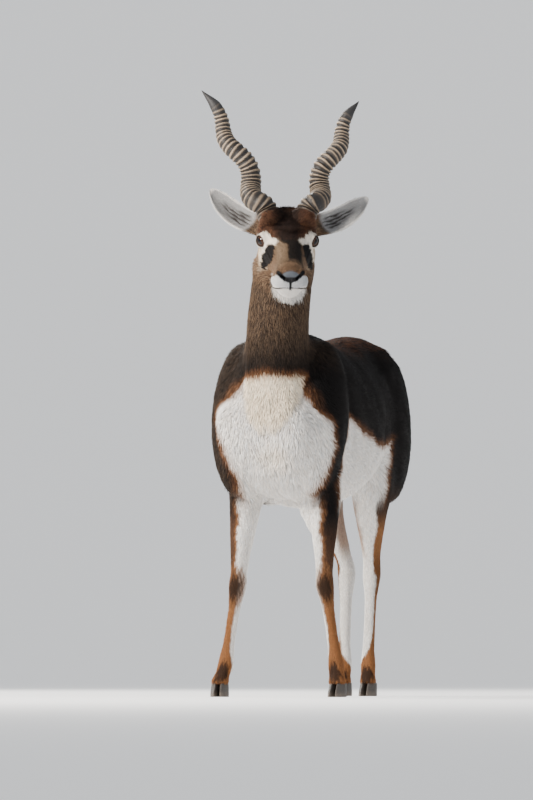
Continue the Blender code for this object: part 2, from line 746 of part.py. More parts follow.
def ear_root(side):
    """The root of an ear on the head, reaching a little past where the ear's own shell begins."""
    root, tip, across, facing = ear_frame(side)
    rings = []
    for down, swell in ((-0.004, 0.0), (0.006, 0.001), (0.020, 0.003), (0.036, 0.003)):
        centre = root - tip * down - facing * 0.0125
        rings.append(oval(centre, across, facing, 0.0230 + swell, 0.0140 + swell, 0.0140 + swell, BODY_SEGMENTS))
    return loft("ear_root", rings)


def claw(name, centre, side):
    """One claw of a cloven hoof: an upright horn wall over a pointed sole."""
    rings = []
    for height, long, wide, lean in (
        (0.0, 1.00, 1.00, 0.0),
        (0.010, 0.97, 1.00, 0.0012),
        (0.021, 0.86, 0.96, 0.0040),
        (HOOF_HEIGHT, 0.76, 0.92, 0.0062),
    ):
        ring = []
        for k in range(14):
            angle = math.tau * k / 14
            c, s = math.cos(angle), math.sin(angle)
            toe = 0.58 * CLAW_LENGTH * long * c if c > 0 else 0.42 * CLAW_LENGTH * long * c
            narrow = 1 - 0.52 * max(0.0, c) ** 1.5
            outer = 0.0165 * wide * narrow * s if s > 0 else 0.0040 * wide * s
            ring.append(centre + Vector((side * (outer - 0.002 * narrow), lean - toe, height)))
        rings.append(ring)
    return loft(name, rings)


def hooves(name, foot, swivel):
    """The two claws of a foot, a hair apart at the heel and spread at the toes."""
    made = []
    x, y = foot
    for side, word in ((1, "left"), (-1, "right")):
        centre = Vector((side * 0.0066, 0, 0))
        piece = claw(f"{name}_{word}_claw", centre, side)
        turn = Matrix.Rotation(math.radians(swivel + side * 4), 4, "Z")
        place = Matrix.Translation(Vector((x, y - 0.002, 0)))
        piece.data.transform(place @ turn)
        made.append(piece)
    return made


def dewclaw_forms(fetlock):
    """The two small claws behind a fetlock."""
    x, y = fetlock
    size = (0.0058, 0.0065, 0.0095)
    return [ellipsoid("dewclaw", (x + side * 0.0085, y + 0.0225, 0.060), size) for side in (1, -1)]


def body_node():
    """Trunk, neck, legs and tail in one closed body."""
    trunk = fused("trunk", [trunk_form(), neck_form(), *muscle_forms()], BODY_VOXEL, 26)
    forms = [trunk]
    for side in (1, -1):
        forms += [foreleg_form(side), hindleg_form(side)]
        for stance in (FORE_STANCE[side], HIND_STANCE[side]):
            forms += dewclaw_forms(stance.fetlock)
    return fused("torso", forms, BODY_VOXEL, 7, BODY_FACES)


def build():
    """Makes every node of the animal."""
    clear_scene()
    body = body_node()
    head = fused("head_form", head_forms(), HEAD_VOXEL, 5, HEAD_FACES)
    tree = BVHTree.FromObject(head, bpy.context.evaluated_depsgraph_get())
    cutters = [mouth_cutter(tree), philtrum_cutter(tree)]
    for side in (1, -1):
        root, tip, _, facing = ear_frame(side)
        cutters += [nostril_cutter(tree, side), eye_opening(side), gland_cutter(side)]
        axis = horn_axis(side).normalized()
        cutters.append(clearing("horn_seat", horn_seat(side), axis, HORN_RADIUS * 1.11, 0.04))
        cutters.append(clearing("ear_seat", root - facing * 0.0125, tip, 0.030, 0.020))
    boolean(body, [head, tail_form()], "UNION")
    boolean(body, cutters, "DIFFERENCE")
    boolean(body, [eyelids(1), eyelids(-1)], "UNION")
    rounding = dict(segments=EYE_SEGMENTS, rings=10)
    room = (EYE_RADIUS + GAP,) * 3
    sockets = [ellipsoid("socket", eye_frame(side)[0], room, **rounding) for side in (1, -1)]
    boolean(body, sockets, "DIFFERENCE")
    # The legs end level with the tops of the hooves
    boolean(body, [slab("floor", Vector(), (X, Y, Z), (-1, -1, -1), (1, 1, HOOF_HEIGHT + GAP))], "DIFFERENCE")

    nodes = []
    cut = (FACING * 0.6 + Z * 0.8).normalized()
    frame = (cut, LEFTWARD, cut.cross(LEFTWARD))
    piece = part_off(body, "head", in_head(0.0, 0, -0.090), frame, (0, -0.3, -0.3), (0.5, 0.3, 0.3))
    nodes.append((piece, "grey_coat"))
    rise = Vector((0, -0.57, 0.82)).normalized()
    frame = (rise, X, rise.cross(X))
    piece = part_off(body, "neck", Vector((0, -0.290, 0.742)), frame, (0, -0.088, -0.30), (0.6, 0.104, 0.30))
    nodes.append((piece, "grey_coat"))
    piece = part_off(body, "tail", Vector((0, 0.393, 0.66)), (Y, X, Z), (0, -0.06, -0.12), (0.1, 0.06, 0.12))
    nodes.append((piece, "dark_coat"))
    for side, word in ((1, "left"), (-1, "right")):
        low, high = sorted((side * 0.046, side * 0.30))
        piece = part_off(body, f"foreleg_{word}", Vector(), (X, Y, Z), (low, -0.36, 0), (high, -0.15, 0.428))
        nodes.append((piece, "tan_coat"))
        low, high = sorted((side * 0.002, side * 0.30))
        piece = part_off(body, f"hindleg_{word}", Vector(), (X, Y, Z), (low, 0.11, 0), (high, 0.50, 0.455))
        nodes.append((piece, "tan_coat"))
    nodes.append((largest_piece(body), "dark_coat"))

    for side, word in ((1, "left"), (-1, "right")):
        nodes.append((named(horn(side), f"horn_{word}"), "horn"))
        nodes.append((named(ear(side), f"ear_{word}"), "white_coat"))
        eye = ellipsoid(f"eye_{word}", eye_frame(side)[0], (EYE_RADIUS,) * 3, **rounding)
        nodes.append((eye, "eye"))
        for piece in hooves(f"forefoot_{word}", FORE_STANCE[side].foot, side * -6):
            nodes.append((piece, "hoof"))
        for piece in hooves(f"hindfoot_{word}", HIND_STANCE[side].foot, side * -4):
            nodes.append((piece, "hoof"))
    for obj, material in nodes:
        finish(obj, material)


def named(obj, name):
    """The object under its node's name."""
    obj.name = name
    obj.data.name = name
    return obj


build()
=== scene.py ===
"""Dresses a still, life-size male blackbuck in its winter coat, with eyes, ringed horns and hooves.

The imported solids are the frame. One skin is grown from the solids of flesh and a finer head, and lies
inside them by the depth of the coat. Tapered tufts then stand on the skin and follow the lie of the fur.
Lengths are in metres.
"""

import logging
import math
from dataclasses import dataclass, field, fields
from enum import Enum
from functools import cached_property

import bmesh
import bpy
import numpy as np
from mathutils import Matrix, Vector
from mathutils.bvhtree import BVHTree

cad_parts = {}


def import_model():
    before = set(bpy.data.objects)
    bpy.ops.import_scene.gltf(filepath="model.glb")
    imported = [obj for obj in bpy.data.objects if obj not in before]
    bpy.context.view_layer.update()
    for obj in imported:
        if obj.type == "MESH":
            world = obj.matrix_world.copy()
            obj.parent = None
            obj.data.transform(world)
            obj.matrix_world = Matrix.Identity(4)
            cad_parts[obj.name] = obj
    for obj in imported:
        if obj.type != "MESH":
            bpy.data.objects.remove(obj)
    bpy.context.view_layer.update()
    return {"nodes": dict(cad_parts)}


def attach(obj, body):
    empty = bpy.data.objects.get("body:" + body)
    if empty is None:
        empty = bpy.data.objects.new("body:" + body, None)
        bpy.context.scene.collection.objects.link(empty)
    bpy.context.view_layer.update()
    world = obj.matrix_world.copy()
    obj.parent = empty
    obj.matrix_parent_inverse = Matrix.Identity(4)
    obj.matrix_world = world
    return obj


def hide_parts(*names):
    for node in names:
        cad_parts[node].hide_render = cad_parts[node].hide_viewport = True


LOG = logging.getLogger("blackbuck")
COAT_ATTRIBUTE = "coat_colour"
BAKE_MAP = "OFBake"
SEED = 20
UP = np.array([0.0, 0.0, 1.0])
# The tail's X, the X between left and right legs, and the Y between fore and hind legs
TAIL_X = -0.017
LEGS_X = -0.014
MIDDLE_Y = 0.05
# The skin's colour as a share of the hair's at its root, darker as painted shade under the coat
UNDER_COAT_SHADE = 0.85

Array = np.ndarray
Body = bpy.types.Object
Duo = tuple[float, float]
Triple = tuple[float, float, float]
Rgb = Triple
Row = tuple[float, ...]
Table = tuple[Row, ...]
Pair = tuple[Array, Array]


class Side(Enum):
    """The animal's own left and right, as the sign of its X."""

    LEFT = 1
    RIGHT = -1

    @property
    def word(self) -> str:
        """The side's name in a piece's name."""
        return self.name.lower()


@dataclass(frozen=True)
class Palette:
    """The coat's colours, in linear light."""

    black: Rgb = (0.0055, 0.0045, 0.0045)
    dark: Rgb = (0.0042, 0.0032, 0.0032)
    grizzle: Rgb = (0.026, 0.0165, 0.012)
    grizzle_tip: Rgb = (0.175, 0.115, 0.073)
    rufous: Rgb = (0.105, 0.042, 0.020)
    tan: Rgb = (0.235, 0.105, 0.043)
    orange: Rgb = (0.235, 0.098, 0.037)
    cream: Rgb = (0.80, 0.68, 0.52)
    white: Rgb = (0.79, 0.765, 0.735)
    cheek: Rgb = (0.085, 0.050, 0.030)
    # The nose pad's grey-blue is a painted highlight on its wet dark skin
    nose_grey: Rgb = (0.090, 0.102, 0.122)
    ear_grey: Rgb = (0.34, 0.34, 0.345)


def unit(vectors: Array) -> Array:
    """A vector, or rows of them, each brought to length one."""
    return vectors / (np.linalg.norm(vectors, axis=-1, keepdims=True) + 1e-12)


def ramp(values: Array, low: float, high: float) -> Array:
    """A smooth step from 0 at low to 1 at high, which may lie below low."""
    share = np.clip((values - low) / (high - low), 0, 1)
    return share * share * (3 - 2 * share)


def bell(values: Array, reach: float) -> Array:
    """A soft bump, 1 at 0 and nearly gone at twice the reach."""
    return np.exp(-((values / reach) ** 2))


def mixed(first: Array, second: Array | Rgb, share: Array) -> Array:
    """Rows of colours, each mixed with its share of a second colour or of rows of them."""
    return first + (np.asarray(second) - first) * share[:, None]


def flattened(directions: Array, normals: Array) -> Array:
    """Directions laid along a surface that has these normals, each at length one."""
    return unit(directions - normals * (directions * normals).sum(1, keepdims=True))


def from_line(points: Array, path: Array) -> Array:
    """How far points lie from a line.

    Args:
        points: one point a row.
        path: the line's own points, in order.

    Returns:
        The distance of each point from the line's nearest run.
    """
    nearest = np.full(len(points), 1e9)
    for a, b in zip(path[:-1], path[1:]):
        run = b - a
        share = np.clip(((points - a) @ run) / (run @ run + 1e-12), 0, 1)
        nearest = np.minimum(nearest, np.linalg.norm(points - a - share[:, None] * run, axis=1))
    return nearest


def smooth_rows(table: list[Row] | Table, steps: int) -> Array:
    """Rows read from the smooth curve through the rows of a table.

    Args:
        table: the rows that the curve passes through.
        steps: how many rows are read for each span.

    Returns:
        The rows, the last row of the table among them.
    """
    rows = np.array(table, float)
    padded = np.vstack([2 * rows[0] - rows[1], rows, 2 * rows[-1] - rows[-2]])
    read = []
    for i in range(len(rows) - 1):
        a, b, c, d = padded[i : i + 4]
        for t in np.linspace(0, 1, steps, endpoint=False):
            curve = 2 * b + (c - a) * t + (2 * a - 5 * b + 4 * c - d) * t * t + (3 * b - a - 3 * c + d) * t**3
            read.append(0.5 * curve)
    return np.array([*read, rows[-1]])


def coordinates(mesh: bpy.types.Mesh) -> Array:
    """The mesh's points, one row each."""
    found = np.empty(len(mesh.vertices) * 3, np.float32)
    mesh.vertices.foreach_get("co", found)
    return found.reshape(-1, 3).astype(float)


def set_coordinates(mesh: bpy.types.Mesh, points: Array) -> None:
    """Moves the mesh's points to these rows."""
    mesh.vertices.foreach_set("co", np.ascontiguousarray(points, np.float32).ravel())
    mesh.update()


def point_normals(mesh: bpy.types.Mesh) -> Array:
    """The smooth normal at each point of the mesh."""
    found = np.empty(len(mesh.vertices) * 3, np.float32)
    mesh.vertex_normals.foreach_get("vector", found)
    return found.reshape(-1, 3).astype(float)


def choose(*objects: Body) -> Body:
    """Selects only these objects, and makes the first one active.

    Args:
        objects: the objects.

    Returns:
        The active object.
    """
    bpy.ops.object.select_all(action="DESELECT")
    for each in objects:
        each.select_set(True)
    bpy.context.view_layer.objects.active = objects[0]
    return objects[0]


def settled(obj: Body, kind: str, **values: object) -> Body:
    """Gives the object one modifier and applies it.

    Args:
        obj: the object to change.
        kind: the modifier's type.
        values: the modifier's settings.

    Returns:
        The same object.
    """
    modifier = obj.modifiers.new(kind.lower(), kind)
    for name, value in values.items():
        setattr(modifier, name, value)
    choose(obj)
    bpy.ops.object.modifier_apply(modifier=modifier.name)
    return obj


def cleaned(obj: Body, fill: bool = False, merge: float = 1e-7) -> Body:
    """Merges the object's doubled points, fills its open ends if asked and turns its faces outwards.

    Args:
        obj: the object to clean.
        fill: whether open ends are closed.
        merge: how near two points are merged.

    Returns:
        The same object.
    """
    choose(obj)
    bpy.ops.object.mode_set(mode="EDIT")
    bpy.ops.mesh.select_all(action="SELECT")
    bpy.ops.mesh.remove_doubles(threshold=merge)
    if fill:
        bpy.ops.mesh.fill_holes(sides=0)
        bpy.ops.mesh.select_all(action="SELECT")
    bpy.ops.mesh.normals_make_consistent(inside=False)
    bpy.ops.object.mode_set(mode="OBJECT")
    return obj


def named(name: str) -> Body:
    """Names the primitive that was added last."""
    bpy.context.active_object.name = name
    return bpy.context.active_object


def copied(solid: Body, name: str) -> Body:
    """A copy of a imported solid, with its doubled points merged."""
    copy = bpy.data.objects.new(name, solid.data.copy())
    bpy.context.scene.collection.objects.link(copy)
    return cleaned(copy, merge=1e-6)


def melted(obj: Body, voxel: float, rounds: int) -> Body:
    """Grows one soft closed surface round all that the object holds."""
    settled(obj, "REMESH", mode="VOXEL", voxel_size=voxel)
    return settled(obj, "SMOOTH", factor=0.5, iterations=rounds)


def eased(obj: Body, share: Array, rounds: int) -> None:
    """Smooths a mesh as far as each point's share says, in ten grades.

    Args:
        obj: the object to smooth.
        share: how much each point takes part, from 0 to 1.
        rounds: how often it is smoothed.
    """
    group = obj.vertex_groups.new(name="eased")
    grades = np.rint(share * 10)
    for grade in range(1, 11):
        group.add(np.nonzero(grades == grade)[0].tolist(), grade / 10, "REPLACE")
    settled(obj, "SMOOTH", factor=0.5, iterations=rounds, vertex_group=group.name)


def shaded(obj: Body) -> Body:
    """Gives the object's faces smooth shading."""
    choose(obj)
    bpy.ops.object.shade_smooth()
    return obj


def tube(name: str, rings: Array | list[Array], looped: bool = False) -> Body:
    """A closed tube through rings of points, rolled up from a grid.

    Args:
        name: the new object's name.
        rings: the rings, as rows of points.
        looped: whether the last ring joins the first, so that the tube has no ends.

    Returns:
        The new object.
    """
    rings = np.asarray(rings, float)
    spans, sides = len(rings) - (0 if looped else 1), rings.shape[1]
    bpy.ops.object.select_all(action="DESELECT")
    bpy.ops.mesh.primitive_grid_add(x_subdivisions=sides, y_subdivisions=spans, size=1)
    made = named(name)
    grid = coordinates(made.data)
    across = np.rint((grid[:, 0] + 0.5) * sides).astype(int) % sides
    along = np.rint((grid[:, 1] + 0.5) * spans).astype(int) % len(rings)
    set_coordinates(made.data, rings[along, across])
    return cleaned(made, fill=not looped)


def blob(name: str, centre: Array, radii: Triple, axes: Array | None = None) -> Body:
    """An ellipsoid made from a round primitive.

    Args:
        name: the new object's name.
        centre: its middle.
        radii: its reach along its three axes.
        axes: the axes as rows, or none for the world's.

    Returns:
        The new object.
    """
    bpy.ops.object.select_all(action="DESELECT")
    bpy.ops.mesh.primitive_uv_sphere_add(segments=32, ring_count=20, radius=1)
    made = named(name)
    turn = np.eye(3) if axes is None else axes
    set_coordinates(made.data, (coordinates(made.data) * radii) @ turn + centre)
    return made


def joined(name: str, objects: list[Body]) -> Body:
    """Several objects as one.

    Args:
        name: the name of the whole.
        objects: the objects, which are used up.

    Returns:
        The object that holds them all.
    """
    whole = choose(*objects)
    bpy.ops.object.join()
    whole.name = name
    return whole


def carved(obj: Body, others: list[Body], operation: str) -> Body:
    """The object cut by others, or fused with them.

    Args:
        obj: the object to change.
        others: closed objects, which are used up.
        operation: DIFFERENCE or UNION.

    Returns:
        The changed object.
    """
    group = bpy.data.collections.new("cutters")
    bpy.context.scene.collection.children.link(group)
    for other in others:
        group.objects.link(other)
    settings = {"solver": "MANIFOLD", "operand_type": "COLLECTION"}
    settled(obj, "BOOLEAN", operation=operation, collection=group, **settings)
    for other in others:
        bpy.data.objects.remove(other)
    bpy.data.collections.remove(group)
    return obj


def oval(centre: Array, side: Array, up: Array, reach: Triple, sides: int, power: float = 2.0) -> Array:
    """A ring of points round a centre.

    Args:
        centre: the ring's middle.
        side: the direction of its width.
        up: the direction of its height.
        reach: its half width, its rise above the centre and its drop below it.
        sides: how many points it has.
        power: 2 for a round ring, and more for a squarer one.

    Returns:
        The points, one row each.
    """
    angle = math.tau * (np.arange(sides) + 0.5) / sides
    c, s = np.cos(angle), np.sin(angle)
    across = np.sign(c) * np.abs(c) ** (2 / power) * reach[0]
    height = np.sign(s) * np.abs(s) ** (2 / power) * np.where(s > 0, reach[1], reach[2])
    return centre + across[:, None] * side + height[:, None] * up


class Wire:
    """A shader socket that does sums with the usual signs."""

    def __init__(self, graph: "Graph", socket: bpy.types.NodeSocket) -> None:
        """Keeps the socket and the graph that it is in."""
        self.graph = graph
        self.socket = socket

    def _sum(self, operation: str, first: "Wire | float", second: "Wire | float") -> "Wire":
        """The result of one Math node."""
        return self.graph.add("ShaderNodeMath", {"operation": operation}, {0: first, 1: second})

    def __add__(self, other: "Wire | float") -> "Wire":
        """This plus another."""
        return self._sum("ADD", self, other)

    __radd__ = __add__

    def __mul__(self, other: "Wire | float") -> "Wire":
        """This times another."""
        return self._sum("MULTIPLY", self, other)

    __rmul__ = __mul__

    def __sub__(self, other: "Wire | float") -> "Wire":
        """This less another."""
        return self._sum("SUBTRACT", self, other)

    def __rsub__(self, other: float) -> "Wire":
        """Another less this."""
        return self._sum("SUBTRACT", other, self)


class Graph:
    """The nodes of one material."""

    def __init__(self, name: str) -> None:
        """Starts a material with its shader."""
        self.material = bpy.data.materials.new(name)
        self.material.use_nodes = True
        self.nodes = self.material.node_tree.nodes
        self.links = self.material.node_tree.links
        self.shader = self.nodes["Principled BSDF"]

    def put(self, socket: bpy.types.NodeSocket, value: object) -> None:
        """Links a wire to a socket, or sets the socket's value.

        Args:
            socket: the socket to feed.
            value: a wire, a number, a colour or a vector.
        """
        if isinstance(value, Wire):
            self.links.new(value.socket, socket)
        elif socket.type == "RGBA":
            socket.default_value = (*value[:3], 1.0)
        else:
            socket.default_value = value

    def add(self, kind: str, settings: dict, inputs: dict, output: int | str = 0) -> Wire:
        """Adds a node.

        Args:
            kind: the node's type.
            settings: its settings, set first.
            inputs: the values or wires of its sockets.
            output: which of its outputs is wanted.

        Returns:
            The wire from that output.
        """
        node = self.nodes.new(kind)
        for name, value in settings.items():
            setattr(node, name, value)
        for name, value in inputs.items():
            self.put(node.inputs[name], value)
        return Wire(self, node.outputs[output])

    def finish(self, **values: object) -> bpy.types.Material:
        """Sets the shader's sockets.

        Args:
            values: wires and constants by socket name, with _ for a space.

        Returns:
            The finished material.
        """
        for name, value in values.items():
            self.put(self.shader.inputs[name.replace("_", " ")], value)
        return self.material

    def painted(self) -> Wire:
        """The colour that is kept on the mesh."""
        return self.add("ShaderNodeAttribute", {"attribute_name": COAT_ATTRIBUTE}, {}, "Color")

    def place(self) -> Wire:
        """Where a point lies on the object."""
        return self.add("ShaderNodeTexCoord", {}, {}, "Object")

    def noise(self, scale: float, detail: float = 2.0) -> Wire:
        """Soft noise of this many waves to the metre."""
        inputs = {"Vector": self.place(), "Scale": scale, "Detail": detail}
        return self.add("ShaderNodeTexNoise", {}, inputs, "Fac")

    def tinted(self, colour: Wire, share: Wire | float, tint: Rgb) -> Wire:
        """A colour multiplied by a tint, as far as a share says."""
        settings = {"data_type": "RGBA", "blend_type": "MULTIPLY"}
        return self.add("ShaderNodeMix", settings, {0: share, 6: colour, 7: tint}, 2)

    def bump(self, height: Wire, strength: float, depth: float) -> Wire:
        """A normal raised by this height."""
        inputs = {"Height": height, "Strength": strength, "Distance": depth}
        return self.add("ShaderNodeBump", {}, inputs, "Normal")


@dataclass(frozen=True)
class FurFinish:
    """The finish of skin and tufts, whose colour is kept on the mesh."""

    name: str
    roughness: float = 0.72
    grain: float = 900.0
    grain_depth: float = 0.0006

    def material(self) -> bpy.types.Material:
        """The finish as a material."""
        graph = Graph(self.name)
        colour = graph.painted()
        patches = graph.noise(38.0, 3.0)
        strands = graph.noise(self.grain, 2.0)
        colour = graph.tinted(colour, patches * 0.55, (0.80, 0.77, 0.74))
        colour = graph.tinted(colour, strands * 0.8, (0.70, 0.68, 0.66))
        return graph.finish(
            Base_Color=colour,
            Roughness=self.roughness,
            Specular_IOR_Level=0.12,
            Normal=graph.bump(strands, 0.5, self.grain_depth),
        )


@dataclass(frozen=True)
class HornFinish:
    """Dull ringed horn: crests paler, partly worn horn and partly painted highlight, grooves painted dark as
    painted shade, and a smooth slate tip.
    """

    name: str = "horn_keratin"
    roughness: float = 0.46
    fibre: float = 420.0

    def material(self) -> bpy.types.Material:
        """The finish as a material."""
        graph = Graph(self.name)
        colour = graph.painted()
        stains = graph.noise(55.0, 4.0)
        fibres = graph.noise(self.fibre, 5.0)
        colour = graph.tinted(colour, stains * 0.9, (0.62, 0.56, 0.50))
        colour = graph.tinted(colour, fibres * 0.9, (0.60, 0.58, 0.56))
        return graph.finish(
            Base_Color=colour,
            Roughness=self.roughness + fibres * 0.2,
            Specular_IOR_Level=0.32,
            Normal=graph.bump(fibres, 0.55, 0.0012),
        )


@dataclass(frozen=True)
class HoofFinish:
    """Dark hoof horn with growth lines level with the ground and dust at the edge of the sole."""

    name: str = "hoof_keratin"
    colour: Rgb = (0.030, 0.024, 0.020)
    dust: Rgb = (0.16, 0.12, 0.09)
    line_scale: float = 210.0
    dusty_height: float = 0.014

    def material(self) -> bpy.types.Material:
        """The finish as a material."""
        graph = Graph(self.name)
        height = graph.add("ShaderNodeSeparateXYZ", {}, {"Vector": graph.place()}, "Z")
        inputs = {"Vector": graph.place(), "Scale": self.line_scale, "Distortion": 1.6, "Detail": 2.0}
        lines = graph.add("ShaderNodeTexWave", {"bands_direction": "Z"}, inputs, "Fac")
        worn = graph.noise(160.0, 4.0)
        edge = {"Value": height, "From Min": self.dusty_height, "From Max": 0.0}
        low = graph.add("ShaderNodeMapRange", {}, edge, "Result")
        share = low * worn * 0.9 + lines * 0.05
        inputs = {0: share, 6: self.colour, 7: self.dust}
        colour = graph.add("ShaderNodeMix", {"data_type": "RGBA"}, inputs, 2)
        return graph.finish(
            Base_Color=colour,
            Roughness=0.38 + worn * 0.25,
            Normal=graph.bump(lines + worn, 0.5, 0.0006),
        )


@dataclass(frozen=True)
class EyeFinish:
    """A wet brown eye, with its iris and pupil kept on the mesh."""

    name: str = "wet_eye"

    def material(self) -> bpy.types.Material:
        """The finish as a material."""
        graph = Graph(self.name)
        colour = graph.painted()
        rays = graph.noise(2600.0, 3.0)
        return graph.finish(
            Base_Color=graph.tinted(colour, rays * 0.8, (0.45, 0.40, 0.36)),
            Roughness=0.07 + rays * 0.02,
            Coat_Weight=0.10,
            Coat_Roughness=0.02,
            Specular_IOR_Level=0.14,
        )


@dataclass(frozen=True)
class StageFinish:
    """The plain pale floor and backdrop."""

    name: str
    colour: Rgb

    def material(self) -> bpy.types.Material:
        """The finish as a material."""
        graph = Graph(self.name)
        return graph.finish(
            Base_Color=self.colour,
            Roughness=0.9,
            Specular_IOR_Level=0.1,
            Emission_Color=self.colour,
            Emission_Strength=0.15,
        )


@dataclass(frozen=True)
class HeadFrame:
    """The head's own axes: along the face, out to the animal's left and up from the forehead."""

    poll: Triple = (0.0265, -0.3040, 1.0654)
    pitch: float = math.radians(30.5)
    yaw: float = math.radians(21)

    @property
    def facing(self) -> Array:
        """The level way that the head looks."""
        return np.array([math.sin(self.yaw), -math.cos(self.yaw), 0.0])

    @property
    def axes(self) -> Array:
        """Rows: along the face to the nose, to the animal's left, and up."""
        along = self.facing * math.cos(self.pitch) - UP * math.sin(self.pitch)
        rising = self.facing * math.sin(self.pitch) + UP * math.cos(self.pitch)
        return np.array([along, np.cross(rising, along), rising])

    def at(self, u: float, v: float, w: float) -> Array:
        """The place u along the face, v to the left and w up."""
        return np.array(self.poll) + np.array([u, v, w]) @ self.axes

    def read(self, points: Array) -> Array:
        """The u, v and w of places, one row each."""
        return (points - np.array(self.poll)) @ self.axes.T


HEAD = HeadFrame()


@dataclass(frozen=True)
class Spots:
    """Places on the body, one a row, with the skin's normals there."""

    points: Array
    normals: Array

    @classmethod
    def on(cls, obj: Body) -> "Spots":
        """The points of an object's mesh."""
        return cls(coordinates(obj.data), point_normals(obj.data))

    @cached_property
    def head(self) -> Array:
        """The places in the head's frame."""
        return HEAD.read(self.points)

    @cached_property
    def folded(self) -> Array:
        """The places in the head's frame, with its right half folded onto its left."""
        return np.stack([self.head[:, 0], np.abs(self.head[:, 1]), self.head[:, 2]], axis=1)

    @cached_property
    def zones(self) -> "Zones":
        """How much of each part of the body the places belong to."""
        return Zones.of(self.points)

    def filled(self, colour: Rgb) -> Array:
        """A row of this colour for each place."""
        return np.tile(colour, (len(self.points), 1)).astype(float)


@dataclass(frozen=True)
class EyeSocket:
    """Where an eye sits, and the almond opening of its lids."""

    side: Side
    radius: float = 0.0155
    place: Triple = (0.070, 0.0510, -0.033)
    corner_reach: float = math.radians(51)
    lid_reach: float = math.radians(34)
    lid_steps: int = 56

    @property
    def centre(self) -> Array:
        """The middle of the ball."""
        u, v, w = self.place
        return HEAD.at(u, self.side.value * v, w)

    @property
    def axes(self) -> Array:
        """Rows: out of the head, towards the front corner, and up across the opening."""
        along, left, rising = HEAD.axes
        s = self.side.value
        out = unit(left * s * 0.76 + along * 0.60 + rising * 0.22)
        ahead = along * 0.70 - rising * 0.48 - left * s * 0.50
        ahead = unit(ahead - out * (ahead @ out))
        return np.array([out, ahead, np.cross(out, ahead) * s])

    def ray(self, angle: float) -> Array:
        """The way from the eye's centre to the edge of its opening at this angle."""
        out, ahead, above = self.axes
        height = math.copysign(abs(math.sin(angle)) ** 1.35, math.sin(angle))
        corner = math.tan(self.corner_reach) * math.cos(angle)
        return unit(out + ahead * corner + above * (math.tan(self.lid_reach) * height))

    def rim(self, reach: float, count: int = 48) -> Array:
        """The edge of the opening, at this distance from the eye's centre."""
        return np.array([self.centre + self.ray(math.tau * k / count) * reach for k in range(count)])

    def from_rim(self, at: Spots) -> Array:
        """How far places lie from the edge of the opening."""
        rim = self.rim(self.radius + 0.0012)
        return from_line(at.points, np.vstack([rim, rim[:1]]))

    def outward(self, ray: Array) -> Array:
        """The way from the middle of the opening to its edge, along the skin."""
        out = self.axes[0]
        return unit(ray - out * (ray @ out))

    def opening(self) -> Body:
        """The wedge that opens the skin over the eyeball."""
        far = self.rim(self.radius + 0.014)
        roof = self.centre + self.axes[0] * 0.050 + (far - self.centre) * 0.2
        return tube("opening", np.array([self.rim(0.006), far, roof]))

    def lids(self) -> Body:
        """The rounded rim of skin that follows the opening, thicker above than below."""
        rings = []
        for angle in math.tau * np.arange(self.lid_steps) / self.lid_steps:
            ray = self.ray(angle)
            outward = self.outward(ray)
            heavy = 1.0 + 0.28 * max(0.0, math.sin(angle))
            middle = self.centre + ray * (self.radius + 0.0009) + outward * 0.0010 * heavy
            rings.append(oval(middle, outward, ray, (0.0016 * heavy, 0.0010 * heavy, 0.0027), 14))
        return tube("lids", rings, looped=True)

    def fold(self) -> Body:
        """The soft crease that lies over the upper lid."""
        rings = []
        for k in range(24):
            share = k / 23
            ray = self.ray(math.pi * (0.02 + 0.96 * share))
            outward = self.outward(ray)
            thick = 0.0008 * math.sin(math.pi * share) ** 0.5 + 0.0001
            middle = self.centre + ray * (self.radius + 0.0030) + outward * 0.0044
            rings.append(oval(middle, outward, ray, (thick, thick * 1.6, thick * 1.6), 8))
        return tube("fold", rings)

    def hollow(self) -> Body:
        """The round hollow that the eyeball sits in."""
        return blob("hollow", self.centre, (self.radius + 0.0001,) * 3)


